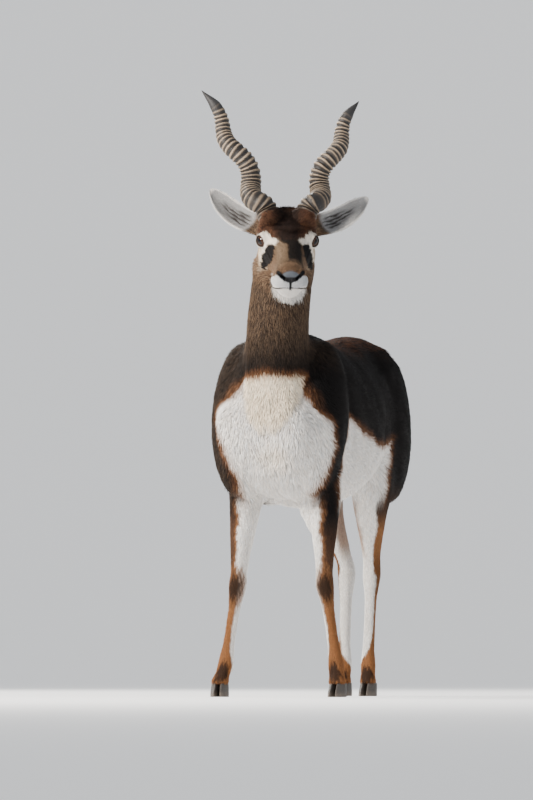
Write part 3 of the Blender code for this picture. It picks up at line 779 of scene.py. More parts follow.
@dataclass(frozen=True)
class HornForm:
    """One horn: a corkscrew that widens and narrows round a straight axis."""

    side: Side
    reach: Triple
    bend: Duo
    turns: float
    phase: float
    radius: float = 0.0235
    span: float = 0.086
    sink: float = 0.014
    ringed: float = 0.86
    ring_count: int = 30
    # crest is partly worn horn and partly painted highlight, groove is painted shade between the rings
    crest: Rgb = (0.50, 0.385, 0.27)
    flank: Rgb = (0.042, 0.033, 0.027)
    groove: Rgb = (0.013, 0.011, 0.0105)
    slate: Rgb = (0.030, 0.029, 0.031)

    @property
    def run(self) -> Array:
        """The straight axis, as long as the horn."""
        out, up, back = self.reach
        return HEAD.axes[1] * self.side.value * out + UP * up - HEAD.facing * back

    @property
    def base(self) -> Array:
        """Where the winding starts."""
        return HEAD.at(0.027, self.side.value * self.span / 2, 0.012)

    @property
    def seat(self) -> Array:
        """Where the horn stands on the skull."""
        return self.base - unit(self.run) * self.sink

    @property
    def start(self) -> float:
        """The seat's place as a share of the horn's length, below 0."""
        return -self.sink / float(np.linalg.norm(self.run))

    def line(self, t: float) -> Array:
        """The middle of the horn at share t of its length."""
        axis, s = unit(self.run), self.side.value
        left = HEAD.axes[1] * s
        outward = unit(left - axis * (left @ axis))
        back = np.cross(axis, outward) * s
        first, later = self.bend
        amount = (first + (later - first) * min(1, t / 0.5)) * max(0, min(1, t / 0.09)) * (1 - 0.35 * t)
        angle = math.tau * self.turns * (t - self.phase)
        return self.base + self.run * t + (outward * math.cos(angle) + back * math.sin(angle)) * amount

    def ring_place(self, t: Array) -> tuple[Array, Array]:
        """Where shares of the horn's length lie among its rings, spaced along the winding horn itself.

        Args:
            t: the shares.

        Returns:
            The number of the ring, and how far up its side each lies, from 0 in a groove to 1 on a crest.
        """
        shares = np.linspace(self.start, self.ringed, 160)
        steps = np.linalg.norm(np.diff([self.line(each) for each in shares], axis=0), axis=1)
        length = np.concatenate([[0.0], np.cumsum(steps)]) / steps.sum()
        share = np.interp(t, shares, length) ** 0.94 * self.ring_count
        place = share % 1.0
        # A ring rises slowly from below and falls off more sharply above
        return share.astype(int), np.where(place < 0.66, ramp(place, 0.05, 0.62), ramp(place, 1.0, 0.70))

    def piece(self) -> Body:
        """The horn with its rings, wrinkles and smooth tip, and its colour kept on the mesh."""
        rng = np.random.default_rng(SEED + self.side.value)
        count, sides = 420, 48
        angles = math.tau * np.arange(sides) / sides
        wave = rng.uniform(0, math.tau, 4)
        tilt = rng.uniform(0, math.tau, self.ring_count + 1)
        strength = rng.uniform(0.75, 1.2, self.ring_count + 1)
        rings, colours = [], []
        axis = unit(self.run)
        shares = self.start + (1 - self.start) * np.linspace(0, 1, count)
        # No ring is quite level, and each wavers a little on its way round
        order = np.minimum(self.ring_place(shares)[0], self.ring_count)
        waver = 0.0035 * np.sin(angles + tilt[order][:, None]) + 0.0014 * np.sin(3 * angles + wave[0])
        numbers, crests = self.ring_place(shares[:, None] + waver)
        for t, number, crest, waver in zip(shares, numbers, crests, waver):
            strong = strength[np.minimum(number, self.ring_count)] * min(1.0, 0.8 + t)
            fade = 1 - ramp(t + waver, 0.76, self.ringed + 0.01)
            thick = self.radius * (1 - 0.28 * t - 0.42 * max(0, t) ** 4)
            if t > self.ringed:
                left = 1 - (t - self.ringed) / (1 - self.ringed)
                thick *= 0.985 * left**0.75 + 0.015
            ahead = unit(self.line(min(1, t + 0.01)) - self.line(max(0, t - 0.01)))
            level = max(0.0, min(1.0, t / 0.06))
            ahead = unit(axis * (1 - level) + ahead * level)
            side = unit(np.cross(ahead, HEAD.facing))
            ripple = sum(np.sin((5 + 4 * i) * angles + wave[i] + 30 * t * (i - 1.5)) for i in range(4))
            swell = 1 + fade * strong * (crest * 0.150 - 0.080) + 0.005 * ripple
            around = np.cos(angles)[:, None] * side + np.sin(angles)[:, None] * np.cross(side, ahead)
            rings.append(self.line(t) + around * (thick * swell)[:, None])
            # Grooves are painted darker as painted shade, crests paler as partly wear and partly painted
            # highlight, and the base darker as painted shade
            body = mixed(np.tile(self.groove, (sides, 1)), self.flank, ramp(crest, 0.02, 0.45))
            worn = ramp(crest, 0.68, 0.98) * np.clip(strong, 0, 1) * (0.55 + 0.45 * t)
            body = mixed(body, self.crest, worn)
            body = body * np.interp(t, (0.0, 0.35), (0.70, 1.0))
            colours.append(mixed(body, self.slate, 1 - fade))
        made = tube(f"horn_sheath_{self.side.word}", rings)
        paint_near(made, np.concatenate(rings), np.concatenate(colours))
        return made


def paint_near(obj: Body, places: Array, colours: Array) -> None:
    """Colours each point of a mesh as the place that it lies on.

    Args:
        obj: the object, whose points lie on the places.
        places: the places, one row each.
        colours: a colour for each place.
    """
    order = {tuple(key): i for i, key in enumerate(np.rint(places * 1e6).astype(np.int64))}
    found = np.tile(colours[-1], (len(obj.data.vertices), 1))
    for i, key in enumerate(np.rint(coordinates(obj.data) * 1e6).astype(np.int64)):
        near = order.get(tuple(key))
        if near is not None:
            found[i] = colours[near]
    paint(obj, found)


def paint(obj: Body, colours: Array) -> None:
    """Keeps a colour on each point of the object's mesh.

    Args:
        obj: the object.
        colours: linear colours, one row for each point.
    """
    mesh = obj.data
    kept = mesh.color_attributes.get(COAT_ATTRIBUTE)
    kept = kept or mesh.color_attributes.new(COAT_ATTRIBUTE, "FLOAT_COLOR", "POINT")
    rows = np.ones((len(mesh.vertices), 4), np.float32)
    rows[:, :3] = np.clip(colours, 0, 1)
    kept.data.foreach_set("color", rows.ravel())


@dataclass(frozen=True)
class EarForm:
    """One ear: a leaf-shaped cup on a narrow root."""

    side: Side
    root_out: float
    lean: Triple
    length: float = 0.145
    sag: float = 0.011
    arch: float = 0.010
    fur_depth: float = 0.0007
    buried: Row = (-0.10, 0.019, 0.001, 0.024)
    table: Table = (
        # share of the length, half width, depth of the cup, wall
        (0.00, 0.0225, 0.003, 0.0220),
        (0.12, 0.0240, 0.011, 0.0150),
        (0.28, 0.0258, 0.019, 0.0045),
        (0.50, 0.0258, 0.016, 0.0030),
        (0.72, 0.0222, 0.010, 0.0027),
        (0.87, 0.0155, 0.006, 0.0024),
        (0.96, 0.0085, 0.003, 0.0022),
        (1.00, 0.0030, 0.0015, 0.0020),
    )

    @property
    def root(self) -> Array:
        """Where the ear leaves the head."""
        return HEAD.at(-0.008, self.side.value * self.root_out, -0.036)

    @property
    def axes(self) -> Array:
        """Rows: to the tip, across the cup, and the way the cup faces."""
        out, up, back = self.lean
        tip = unit(HEAD.axes[1] * self.side.value * out + UP * up - HEAD.facing * back)
        facing = HEAD.facing - UP * 0.05
        facing = unit(facing - tip * (facing @ tip))
        return np.array([tip, np.cross(tip, facing), facing])

    def middle(self, share: float) -> Array:
        """The middle line, which sags and arches back."""
        tip, across, facing = self.axes
        bow = math.sin(math.pi * max(0.0, share))
        bent = across * (self.side.value * self.sag * bow) - facing * (self.arch * bow)
        return self.root + tip * (self.length * share) + bent

    def piece(self) -> Body:
        """The ear's skin, inside its solid by the depth of the fur."""
        _, across, facing = self.axes
        inset = self.fur_depth
        table = [self.buried, *self.table]
        rings = []
        s = np.linspace(-1, 1, 22)
        for share, half, cup, wall in smooth_rows(table, 7):
            width = half - inset
            inner = cup * (1 - s * s)
            outer = (cup + wall - 2 * inset) * (1 - s * s) + (0.0022 - inset) * s * s
            middle = self.middle(share) - facing * inset
            front = middle + np.outer(width * s, across) - np.outer(inner, facing)
            rear = middle + np.outer((width + 0.0006) * s, across) - np.outer(outer, facing)
            rings.append(np.vstack([front, rear[::-1]]))
        return tube(f"ear_skin_{self.side.word}", rings)

    def read(self, at: Spots) -> tuple[Array, Array, Array, Array]:
        """Where places lie on the ear.

        Args:
            at: the places.

        Returns:
            The share of the length, the share of the half width, how far the skin faces into the cup,
            and how much the point belongs to the ear.
        """
        tip, across, facing = self.axes
        offset = at.points - self.root
        share = offset @ tip / self.length
        bow = np.sin(math.pi * np.clip(share, 0, 1))
        width = offset @ across - self.side.value * self.sag * bow
        table = np.array(self.table)
        half = np.interp(share, table[:, 0], table[:, 1])
        depth = np.abs(offset @ facing + 0.018)
        belongs = ramp(share, 0.10, 0.22) * (share < 1.1) * (np.abs(width) < half + 0.006) * (depth < 0.034)
        return share, width / half, at.normals @ facing, belongs


EARS = (EarForm(Side.LEFT, 0.064, (0.839, 0.449, 0.309)), EarForm(Side.RIGHT, 0.055, (0.760, 0.569, 0.312)))
EYES = (EyeSocket(Side.LEFT), EyeSocket(Side.RIGHT))
HORNS = (
    HornForm(Side.LEFT, (0.118, 0.2590, 0.115), (0.0168, 0.0088), 2.28, 0.150),
    HornForm(Side.RIGHT, (0.1353, 0.2819, 0.115), (0.0174, 0.0097), 2.28, 0.147),
)


@dataclass
class HeadSkin:
    """The head's skin: skull, jaw and muzzle with cheeks, brows, lids, nostrils and lips."""

    voxel: float = 0.0017
    rounds: int = 9
    inset: float = 0.0011
    sides: int = 48
    skull: Table = (
        # u, top, widest, bottom, half width, power
        (-0.040, -0.030, -0.058, -0.092, 0.036, 2.0),
        (-0.018, -0.008, -0.055, -0.110, 0.050, 2.1),
        (0.010, 0.003, -0.052, -0.118, 0.057, 2.2),
        (0.045, 0.004, -0.048, -0.119, 0.059, 2.3),
        (0.075, -0.001, -0.048, -0.114, 0.056, 2.3),
        (0.105, -0.008, -0.051, -0.106, 0.047, 2.3),
        (0.135, -0.014, -0.056, -0.101, 0.0375, 2.3),
        (0.165, -0.019, -0.061, -0.101, 0.0335, 2.4),
        (0.190, -0.023, -0.061, -0.102, 0.0335, 2.4),
        (0.207, -0.025, -0.058, -0.095, 0.0310, 2.3),
        (0.217, -0.029, -0.055, -0.081, 0.0255, 2.2),
        (0.2225, -0.036, -0.053, -0.068, 0.016, 2.0),
    )
    mouth: tuple[Triple, ...] = (
        # u, v, w from the front to the corner
        (0.2130, 0.000, -0.0710),
        (0.2100, 0.014, -0.0725),
        (0.2000, 0.028, -0.0780),
        (0.1850, 0.036, -0.0820),
        (0.1680, 0.038, -0.0805),
        (0.1500, 0.038, -0.0750),
    )
    nostril: tuple[Triple, ...] = (
        # v, w, half the slit's height
        (0.0088, -0.0508, 0.0030),
        (0.0120, -0.0494, 0.0050),
        (0.0162, -0.0464, 0.0050),
        (0.0210, -0.0424, 0.0036),
        (0.0250, -0.0386, 0.0016),
    )
    tear_line: Table = ((0.096, 0.0500, -0.036), (0.130, 0.0405, -0.046))
    vein: Table = ((0.120, 0.043, -0.062), (0.165, 0.034, -0.060), (0.185, 0.034, -0.052))
    neck_stub: Table = (
        # x, y, z, pitch, yaw, half width, nape side, throat side
        (0.014, -0.289, 0.915, 82, 15, 0.0610, 0.058, 0.064),
        (0.019, -0.292, 0.960, 80, 18, 0.0645, 0.057, 0.064),
        (0.026, -0.302, 1.012, 72, 20, 0.0520, 0.052, 0.052),
    )

    @property
    def mouth_line(self) -> Array:
        """The left half of the mouth's line in the head's frame."""
        return smooth_rows(self.mouth, 4)

    @property
    def slit(self) -> Array:
        """The left nostril's line in the head's frame."""
        return np.array([(0.2125, v, w) for v, w, _ in self.nostril])

    def forms(self) -> list[Body]:
        """The plain forms that melt into the head."""
        _, left, rising = HEAD.axes
        rings = [
            oval(HEAD.at(u, 0, wide), left, rising, (half, top - wide, wide - bottom), self.sides, power)
            for u, top, wide, bottom, half, power in smooth_rows(self.skull, 6)
        ]
        made = [tube("skull", rings)]
        made.append(self.stub())
        for name, (u, v, w), radii in (
            ("brow", (0.060, 0.035, -0.023), (0.032, 0.020, 0.019)),
            ("temple", (0.034, 0.038, -0.038), (0.036, 0.029, 0.030)),
            ("cheek", (0.050, 0.034, -0.076), (0.048, 0.029, 0.036)),
            ("lip", (0.186, 0.018, -0.072), (0.030, 0.0225, 0.018)),
            ("nose_wing", (0.2045, 0.0175, -0.0420), (0.0155, 0.0150, 0.0120)),
        ):
            made += [blob(name, HEAD.at(u, side.value * v, w), radii, HEAD.axes) for side in Side]
        made.append(blob("chin", HEAD.at(0.182, 0, -0.094), (0.026, 0.024, 0.014), HEAD.axes))
        made.append(blob("forehead", HEAD.at(0.028, 0, -0.014), (0.042, 0.052, 0.026), HEAD.axes))
        made += [blob("orbit", eye.centre, (eye.radius + 0.0036,) * 3) for eye in EYES]
        for horn in HORNS:
            axis = unit(horn.run)
            side = unit(np.cross(axis, HEAD.facing))
            rings = []
            for down, swell in ((-0.0050, -0.0015), (0.000, 0.0022), (0.008, 0.0035), (0.020, -0.0080)):
                reach = horn.radius + swell
                centre = horn.seat - axis * down
                rings.append(oval(centre, side, np.cross(side, axis), (reach,) * 3, self.sides))
            made.append(tube("core", rings))
        for ear in EARS:
            tip, across, facing = ear.axes
            rings = []
            for down, swell in ((-0.004, 0.0), (0.006, 0.001), (0.020, 0.003), (0.036, 0.003)):
                centre = ear.root - tip * down - facing * 0.0125
                reach = (0.0225 + swell, 0.0135 + swell, 0.0135 + swell)
                rings.append(oval(centre, across, facing, reach, self.sides))
            made.append(tube("ear_root", rings))
        return made

    def stub(self) -> Body:
        """The top of the neck, which sinks into the body's skin."""
        rings = []
        for x, y, z, pitch, yaw, half, nape, throat in smooth_rows(self.neck_stub, 5):
            pitch, yaw = math.radians(pitch), math.radians(yaw)
            ahead = np.array([math.sin(yaw), -math.cos(yaw), 0])
            side = np.array([math.cos(yaw), math.sin(yaw), 0])
            up = UP * math.cos(pitch) - ahead * math.sin(pitch)
            rings.append(oval(np.array([x, y, z]), side, up, (half, nape, throat), self.sides, 2.1))
        return tube("stub", rings)

    def piece(self) -> Body:
        """The finished skin of the head, one closed surface."""
        head = joined("head_skin", self.forms())
        melted(head, self.voxel, self.rounds)
        self.sculpt(head)
        tree = BVHTree.FromObject(head, bpy.context.evaluated_depsgraph_get())
        cutters = [self.mouth_cut(tree), self.groove_cut(tree)]
        cutters += [self.nostril_cut(tree, side) for side in Side]
        cutters += [eye.opening() for eye in EYES]
        carved(head, cutters, "DIFFERENCE")
        carved(head, [eye.lids() for eye in EYES], "UNION")
        carved(head, [eye.hollow() for eye in EYES] + [eye.fold() for eye in EYES], "DIFFERENCE")
        return head

    def sculpt(self, head: Body) -> None:
        """Sinks the skin by the fur's depth, and raises lips, nose wings and tear line.

        Args:
            head: the melted head.
        """
        at = Spots.on(head)
        u = at.head[:, 0]
        bare = ramp(u, 0.190, 0.205)
        move = -self.inset * (1 - 0.7 * bare)
        away = from_line(at.folded, self.mouth_line)
        move += 0.0012 * bell(away - 0.0045, 0.0030) * ramp(u, 0.145, 0.170)
        gland = from_line(at.folded, np.array(self.tear_line))
        move -= 0.0028 * bell(gland, 0.0030)
        move += 0.0011 * bell(gland - 0.0065, 0.0030)
        move += 0.0008 * bell(from_line(at.folded, np.array(self.vein)), 0.0040)
        slit = from_line(at.folded, self.slit)
        move += 0.0012 * bell(slit - 0.0062, 0.0026) * bare
        set_coordinates(head.data, at.points + at.normals * move[:, None])

    @staticmethod
    def hit(tree: BVHTree, start: Array, way: Array) -> Array:
        """Where a ray from inside the head meets its surface."""
        return np.array(tree.ray_cast(Vector(start), Vector(way))[0])

    @staticmethod
    def way_along(places: list[Array], i: int) -> Array:
        """The direction of a line of places at one of them."""
        return unit(places[min(i + 1, len(places) - 1)] - places[max(i - 1, 0)])

    def mouth_cut(self, tree: BVHTree) -> Body:
        """The line of the mouth from corner to corner, laid on the skin.

        Args:
            tree: the head's surface.

        Returns:
            The slim cutter.
        """
        half = self.mouth_line
        found = []
        for u, v, w in (*(half[::-1] * (1, -1, 1)), *half[1:]):
            inside = HEAD.at(0.155 if abs(v) < 0.03 else u - 0.01, 0, w)
            found.append(self.hit(tree, inside, unit(HEAD.at(u, v, w) - inside)))
        rings = []
        for i, place in enumerate(found):
            run = self.way_along(found, i)
            across = unit(np.cross(run, HEAD.axes[2]))
            end = min(i, len(found) - 1 - i)
            thin = 0.0011 * (0.35 + 0.65 * min(1.0, end / 4))
            rings.append(oval(place, across, np.cross(run, across), (0.0036, thin, thin), 10))
        return tube("mouth", rings)

    def groove_cut(self, tree: BVHTree) -> Body:
        """The groove from between the nostrils down to the mouth.

        Args:
            tree: the head's surface.

        Returns:
            The slim cutter.
        """
        rings = []
        for w in np.linspace(-0.050, -0.070, 8):
            hit = self.hit(tree, HEAD.at(0.16, 0, w), HEAD.axes[0])
            rings.append(oval(hit, HEAD.axes[1], HEAD.axes[0], (0.0009, 0.0026, 0.0026), 10))
        return tube("groove", rings)

    def nostril_cut(self, tree: BVHTree, side: Side) -> Body:
        """A comma-shaped nostril, slanting up and out over the wing of the nose.

        Args:
            tree: the head's surface.
            side: which nostril.

        Returns:
            The cutter.
        """
        along, left, _ = HEAD.axes
        rows = smooth_rows(self.nostril, 3)
        places = []
        for v, w, _ in rows:
            start = HEAD.at(0.175, 0, w - 0.004)
            places.append(self.hit(tree, start, unit(HEAD.at(0.214, side.value * v, w) - start)))
        rings = []
        for i, place in enumerate(places):
            run = self.way_along(places, i)
            inward = unit(-along * 0.85 - left * side.value * 0.4)
            inward = unit(inward - run * (inward @ run))
            height = rows[i][2]
            reach = (0.0075, height, height)
            rings.append(oval(place + inward * 0.0035, inward, np.cross(run, inward), reach, 16))
        return tube("nostril", rings)


@dataclass
class BodySkin:
    """The skin of neck, trunk, tail and legs, grown from their solids."""

    voxel: float = 0.0038
    share_kept: float = 0.34
    breast_rise: float = 0.022
    rounds: int = 4
    broad_rounds: int = 16
    haunch_rounds: int = 60

    @property
    def nodes(self) -> tuple[str, ...]:
        """The names of those solids."""
        legs = (f"{leg}_{side.word}" for leg in ("foreleg", "hindleg") for side in Side)
        return ("neck", "torso", "tail", *legs)

    def piece(self, solids: dict[str, Body]) -> Body:
        """The finished skin of the body, one closed surface.

        Args:
            solids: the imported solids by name.

        Returns:
            The new object.
        """
        copies = [copied(solids[name], name + "_copy") for name in self.nodes]
        body = joined("body_skin", [*copies, self.armpit()])
        body.data.materials.clear()
        melted(body, self.voxel, self.rounds)
        points = coordinates(body.data)
        x, y, z = points.T
        # The breast rises towards the animal's right between the forelegs
        breast = ramp(z, 0.52, 0.43) * ramp(y, -0.04, -0.16) * ramp(x, 0.045, -0.015)
        points[:, 2] += self.breast_rise * breast * ramp(-x, 0.085, 0.060) * ramp(z, 0.36, 0.41)
        set_coordinates(body.data, points)
        eased(body, ramp(z, 0.40, 0.52) * ramp(y, 0.45, 0.42), self.broad_rounds)
        _, y, z = coordinates(body.data).T
        haunch = ramp(y, 0.15, 0.20) * ramp(z, 0.385, 0.42) * ramp(z, 0.56, 0.52)
        eased(body, haunch, self.haunch_rounds)
        at = Spots.on(body)
        rise = self.relief(at) - Coat().depth_at(at)
        set_coordinates(body.data, at.points + at.normals * rise[:, None])
        settled(body, "DECIMATE", ratio=self.share_kept)
        return body

    @staticmethod
    def armpit() -> Body:
        """The fold of skin from the breast to the inside of the left foreleg."""
        top, low = np.array([0.046, -0.200, 0.450]), np.array([0.078, -0.216, 0.352])
        way = unit(low - top)
        side = unit(np.cross(way, (0, 1, 0)))
        rings = [
            oval(top + (low - top) * share, side, np.cross(side, way), (reach,) * 3, 24)
            for share, reach in ((0.0, 0.030), (0.35, 0.029), (0.7, 0.022), (1.0, 0.013))
        ]
        return tube("armpit", rings)

    @staticmethod
    def relief(at: Spots) -> Array:
        """How far muscles, folds and hollows raise the skin, below 0 in a hollow.

        Args:
            at: the places.

        Returns:
            The rise at each place.
        """
        x, y, z = at.points.T
        front = ramp(-at.normals[:, 1], 0.15, 0.6) * ramp(y, -0.18, -0.24)
        bib = Markings().bib(at)
        edge = bell(bib + 0.006, 0.013) * ramp(z, 0.615, 0.670)
        rise = front * (0.0070 * ramp(bib, -0.012, 0.020) - 0.0042 * edge)
        for place, depth, reach in (
            ((-0.080, -0.335, 0.655), -0.0050, 0.024),
            ((0.084, -0.305, 0.640), -0.0050, 0.024),
            ((-0.108, -0.320, 0.622), 0.0040, 0.028),
            ((0.108, -0.285, 0.598), 0.0040, 0.028),
            ((0.000, -0.350, 0.520), -0.0040, 0.018),
        ):
            away = np.linalg.norm((at.points - place) * (1, 0.5, 1), axis=1)
            rise = rise + depth * bell(away, reach)
        side = ramp(np.abs(at.normals[:, 0]), 0.4, 0.8)
        behind_shoulder = bell(np.abs(y + 0.115 + 0.25 * (z - 0.62)), 0.024)
        rise = rise - 0.0045 * side * behind_shoulder * ramp(z, 0.50, 0.56) * ramp(z, 0.76, 0.70)
        before_thigh = np.hypot((y - 0.165) / 0.045, (z - 0.600) / 0.070)
        rise = rise - 0.0060 * side * bell(before_thigh, 1)
        hip = np.hypot((y - 0.235) / 0.030, (z - 0.755) / 0.026)
        rise = rise + 0.0035 * side * bell(hip, 1)
        rump = ramp(y, 0.08, 0.16) * ramp(y, 0.41, 0.34) * ramp(z, 0.68, 0.73)
        ridge = ramp(np.abs(x - 0.002), 0.085, 0.015)
        corner = bell(x - 0.085, 0.030) * ramp(at.normals[:, 2], 0.25, 0.65)
        return rise + rump * (0.0075 * ridge - 0.0060 * corner)


@dataclass(frozen=True)
class LegLine:
    """The middle line of one leg at its foot, fetlock, knee or hock, elbow or stifle, and top."""

    side: Side
    heights: tuple[float, ...]
    x: tuple[float, ...]
    y: tuple[float, ...]

    def middle(self, height: Array) -> Array:
        """The X and Y of the leg's middle at these heights."""
        return np.stack([np.interp(height, self.heights, row) for row in (self.x, self.y)], axis=1)


FORE_HEIGHTS = (0.0, 0.073, 0.250, 0.440, 0.620)
HIND_HEIGHTS = (0.0, 0.074, 0.276, 0.440, 0.620)
FORE_Y = (-0.222, -0.207, -0.214, -0.200, -0.187)
LEFT_HIND_Y = (0.268, 0.280, 0.316, 0.243, 0.283)
RIGHT_HIND_Y = (0.351, 0.363, 0.393, 0.293, 0.310)
FORELEGS = (
    LegLine(Side.LEFT, FORE_HEIGHTS, (0.118, 0.110, 0.086, 0.079, 0.073), FORE_Y),
    LegLine(Side.RIGHT, FORE_HEIGHTS, (-0.155, -0.146, -0.115, -0.101, -0.105), FORE_Y),
)
HINDLEGS = (
    LegLine(Side.LEFT, HIND_HEIGHTS, (0.037, 0.033, 0.031, 0.049, 0.057), LEFT_HIND_Y),
    LegLine(Side.RIGHT, HIND_HEIGHTS, (-0.048, -0.049, -0.053, -0.083, -0.091), RIGHT_HIND_Y),
)


@dataclass(frozen=True)
class Zones:
    """How much of each part of the body each place belongs to, one in all."""

    head: Array
    neck: Array
    leg: Array
    tail: Array
    trunk: Array

    @staticmethod
    def of(points: Array) -> "Zones":
        """The shares at these places.

        Args:
            points: one place a row.

        Returns:
            The shares.
        """
        x, y, z = points.T
        cut = unit(HEAD.facing * 0.6 + UP * 0.8)
        head = ramp((points - HEAD.at(0, 0, -0.090)) @ cut, -0.030, 0.012)
        tail = ramp(y, 0.437, 0.447) * (np.abs(x - TAIL_X) < 0.05)
        tail = tail * ramp(z, 0.735, 0.720)
        rise = unit(np.array([0, -0.57, 0.82]))
        neck = ramp((points - (0, -0.242, 0.742)) @ rise, -0.02, 0.05) * (1 - head)
        leg = ramp(z, 0.47, 0.40) * ramp(np.abs(x - TAIL_X), 0.02, 0.04)
        leg = np.where(y > MIDDLE_Y, ramp(z, 0.50, 0.42), leg)
        leg = leg * (1 - tail)
        trunk = np.clip(1 - head - neck - leg - tail, 0, 1)
        return Zones(head, neck, leg, tail, trunk)

    def blend(self, *values: object) -> Array:
        """The values for head, neck, leg, tail and trunk, mixed at each place by its shares.

        Args:
            values: a number, a row or a colour for each of the five.

        Returns:
            The mixed values.
        """
        total = 0.0
        for share, value in zip((self.head, self.neck, self.leg, self.tail, self.trunk), values):
            value = np.asarray(value, float)
            coloured = value.ndim == 2 or value.shape == (3,)
            total = total + (share[:, None] * value if coloured else share * value)
        return total


@dataclass(frozen=True)
class Markings:
    """Where the coat is dark, tan and white, from the places of its borders on the body."""

    palette: Palette = Palette()
    middle_x: float = -0.012
    throat_place: Triple = (0.0450, -0.3460, 0.850)
    throat_z: Row = (0.866, 0.869, 0.874, 0.882, 0.900, 0.920, 0.960, 0.980)
    throat_half: Row = (0.0, 0.012, 0.021, 0.028, 0.035, 0.031, 0.010, 0.0)
    bib_z: Row = (0.583, 0.595, 0.615, 0.640, 0.670, 0.720)
    bib_half: Row = (0.012, 0.030, 0.043, 0.052, 0.058, 0.064)
    chest_x: Row = (-0.150, -0.132, -0.117, -0.070, -0.058, 0.0, 0.055, 0.075, 0.101, 0.123, 0.140)
    chest_z: Row = (0.600, 0.640, 0.668, 0.689, 0.711, 0.722, 0.712, 0.686, 0.648, 0.620, 0.590)
    front_z: Row = (0.430, 0.480, 0.510, 0.560, 0.606, 0.640, 0.690, 0.720)
    front_y_left: Row = (-0.272, -0.274, -0.272, -0.267, -0.277, -0.296, -0.302, -0.291)
    front_y_right: Row = (-0.292, -0.305, -0.325, -0.335, -0.322, -0.300, -0.312, -0.300)
    rear_z: Row = (0.430, 0.480, 0.566, 0.625)
    rear_y: Row = (-0.200, -0.205, -0.165, -0.128)
    flank_y: Row = (-0.160, -0.128, -0.032, 0.067, 0.150, 0.234, 0.300)
    flank_z: Row = (0.640, 0.625, 0.590, 0.569, 0.570, 0.581, 0.590)
    thigh_z: Row = (0.380, 0.445, 0.513, 0.581, 0.620)
    thigh_y: Row = (0.268, 0.240, 0.226, 0.236, 0.250)
    spur: Table = ((0.058, 0.056, -0.022), (0.080, 0.050, -0.018), (0.108, 0.0305, -0.0185))

    def colours(self, at: Spots) -> Pair:
        """The coat's colour near the root and at the tip of the hair.

        Args:
            at: the places.

        Returns:
            Rows of colours at root and tip.
        """
        wobble = self.wobble(at)
        parts = (self.face(at), self.body(at, wobble), self.legs(at, wobble), self.tail(at))
        throat = self.throat(at, wobble)
        ears = [self.ear(ear, at) for ear in EARS]
        made = []
        for end in (0, 1):
            face, body, legs, tail = (part[end] for part in parts)
            colour = mixed(at.zones.blend(face, body, legs, tail, body), self.palette.white, throat)
            for ear in ears:
                colour = mixed(colour, ear[end], ear[2])
            made.append(colour)
        return made[0], made[1]

    @staticmethod
    def wobble(at: Spots) -> Array:
        """A gentle unevenness for the borders, in metres."""
        x, y, z = at.points.T
        waves = np.sin(61 * y + 40 * z) + np.sin(97 * z - 53 * x + 1.0) + np.sin(150 * y + 120 * x + 2.0)
        return 0.0013 * waves

    def throat(self, at: Spots, wobble: Array) -> Array:
        """How much a place belongs to the white below the chin, which runs to a point on the throat.

        Args:
            at: the places.
            wobble: the borders' unevenness there.

        Returns:
            The shares.
        """
        side = np.array([math.cos(HEAD.yaw), math.sin(HEAD.yaw), 0.0])
        aside = np.abs((at.points - self.throat_place) @ side) + wobble
        ahead = (at.points - self.throat_place) @ HEAD.facing
        half = np.interp(at.points[:, 2], self.throat_z, self.throat_half)
        below = ramp(at.head[:, 2], -0.080, -0.092)
        return ramp(aside, half + 0.004, half - 0.004) * ramp(ahead, -0.045, -0.028) * below * (half > 0)

    def bib(self, at: Spots) -> Array:
        """How far inside the cream bib at the foot of the neck a place lies, in metres."""
        x, _, z = at.points.T
        half = np.interp(z, self.bib_z, self.bib_half)
        return np.minimum(half - np.abs(x - 0.001), z - self.bib_z[0])

    def dark_side(self, at: Spots) -> Array:
        """How far inside the dark coat of the body a place lies, in metres, below 0 in the white.

        Args:
            at: the places.

        Returns:
            The distances.
        """
        x, y, z = at.points.T
        out = np.abs(x - self.middle_x)
        arch = z - np.interp(x, self.chest_x, self.chest_z)
        left, right = (np.interp(z, self.front_z, row) for row in (self.front_y_left, self.front_y_right))
        front = np.where(x > self.middle_x, y - left, y - right)
        flank = z - np.interp(y, self.flank_y, self.flank_z)
        outer = out - np.interp(z, (0.42, 0.50, 0.56, 0.60), (0.080, 0.077, 0.040, -0.5))
        shoulder = np.minimum(np.interp(z, self.rear_z, self.rear_y) - y, outer)
        inner = out - np.interp(z, (0.40, 0.55, 0.66, 0.72), (0.045, 0.040, 0.028, -0.5))
        thigh = np.minimum(y - np.interp(z, self.thigh_z, self.thigh_y), inner)
        rump = np.where(y > 0.36, inner, 1.0)
        side = np.minimum(np.maximum(flank, np.maximum(shoulder, thigh)), rump)
        return np.maximum(np.where(y < 0.1, arch, -1.0), np.minimum(front, side))

    def body(self, at: Spots, wobble: Array) -> Pair:
        """The colours of neck and trunk.

        Args:
            at: the places.
            wobble: the borders' unevenness there.

        Returns:
            Rows of colours at root and tip.
        """
        p = self.palette
        x, y, z = at.points.T
        inside = self.dark_side(at) + wobble
        ahead = ramp(y, -0.20, -0.28)
        bib = self.bib(at)
        root = mixed(at.filled(p.white), p.cream, ramp(bib, -0.003, 0.010) * ramp(z, 0.562, 0.620) * ahead)
        breast = ramp(np.hypot((x - 0.006) / 0.050, (z - 0.535) / 0.040), 1.2, 0.2)
        root = mixed(root, p.cream, breast * ahead * 0.45)
        # A grey-tan line along the bib's edge is painted shade where the neck's column meets the chest
        bib_edge_shade = bell(bib + 0.003, 0.005) * ramp(z, 0.600, 0.650) * ahead
        root = mixed(root, (0.50, 0.43, 0.35), bib_edge_shade * 0.42)
        tip = root.copy()
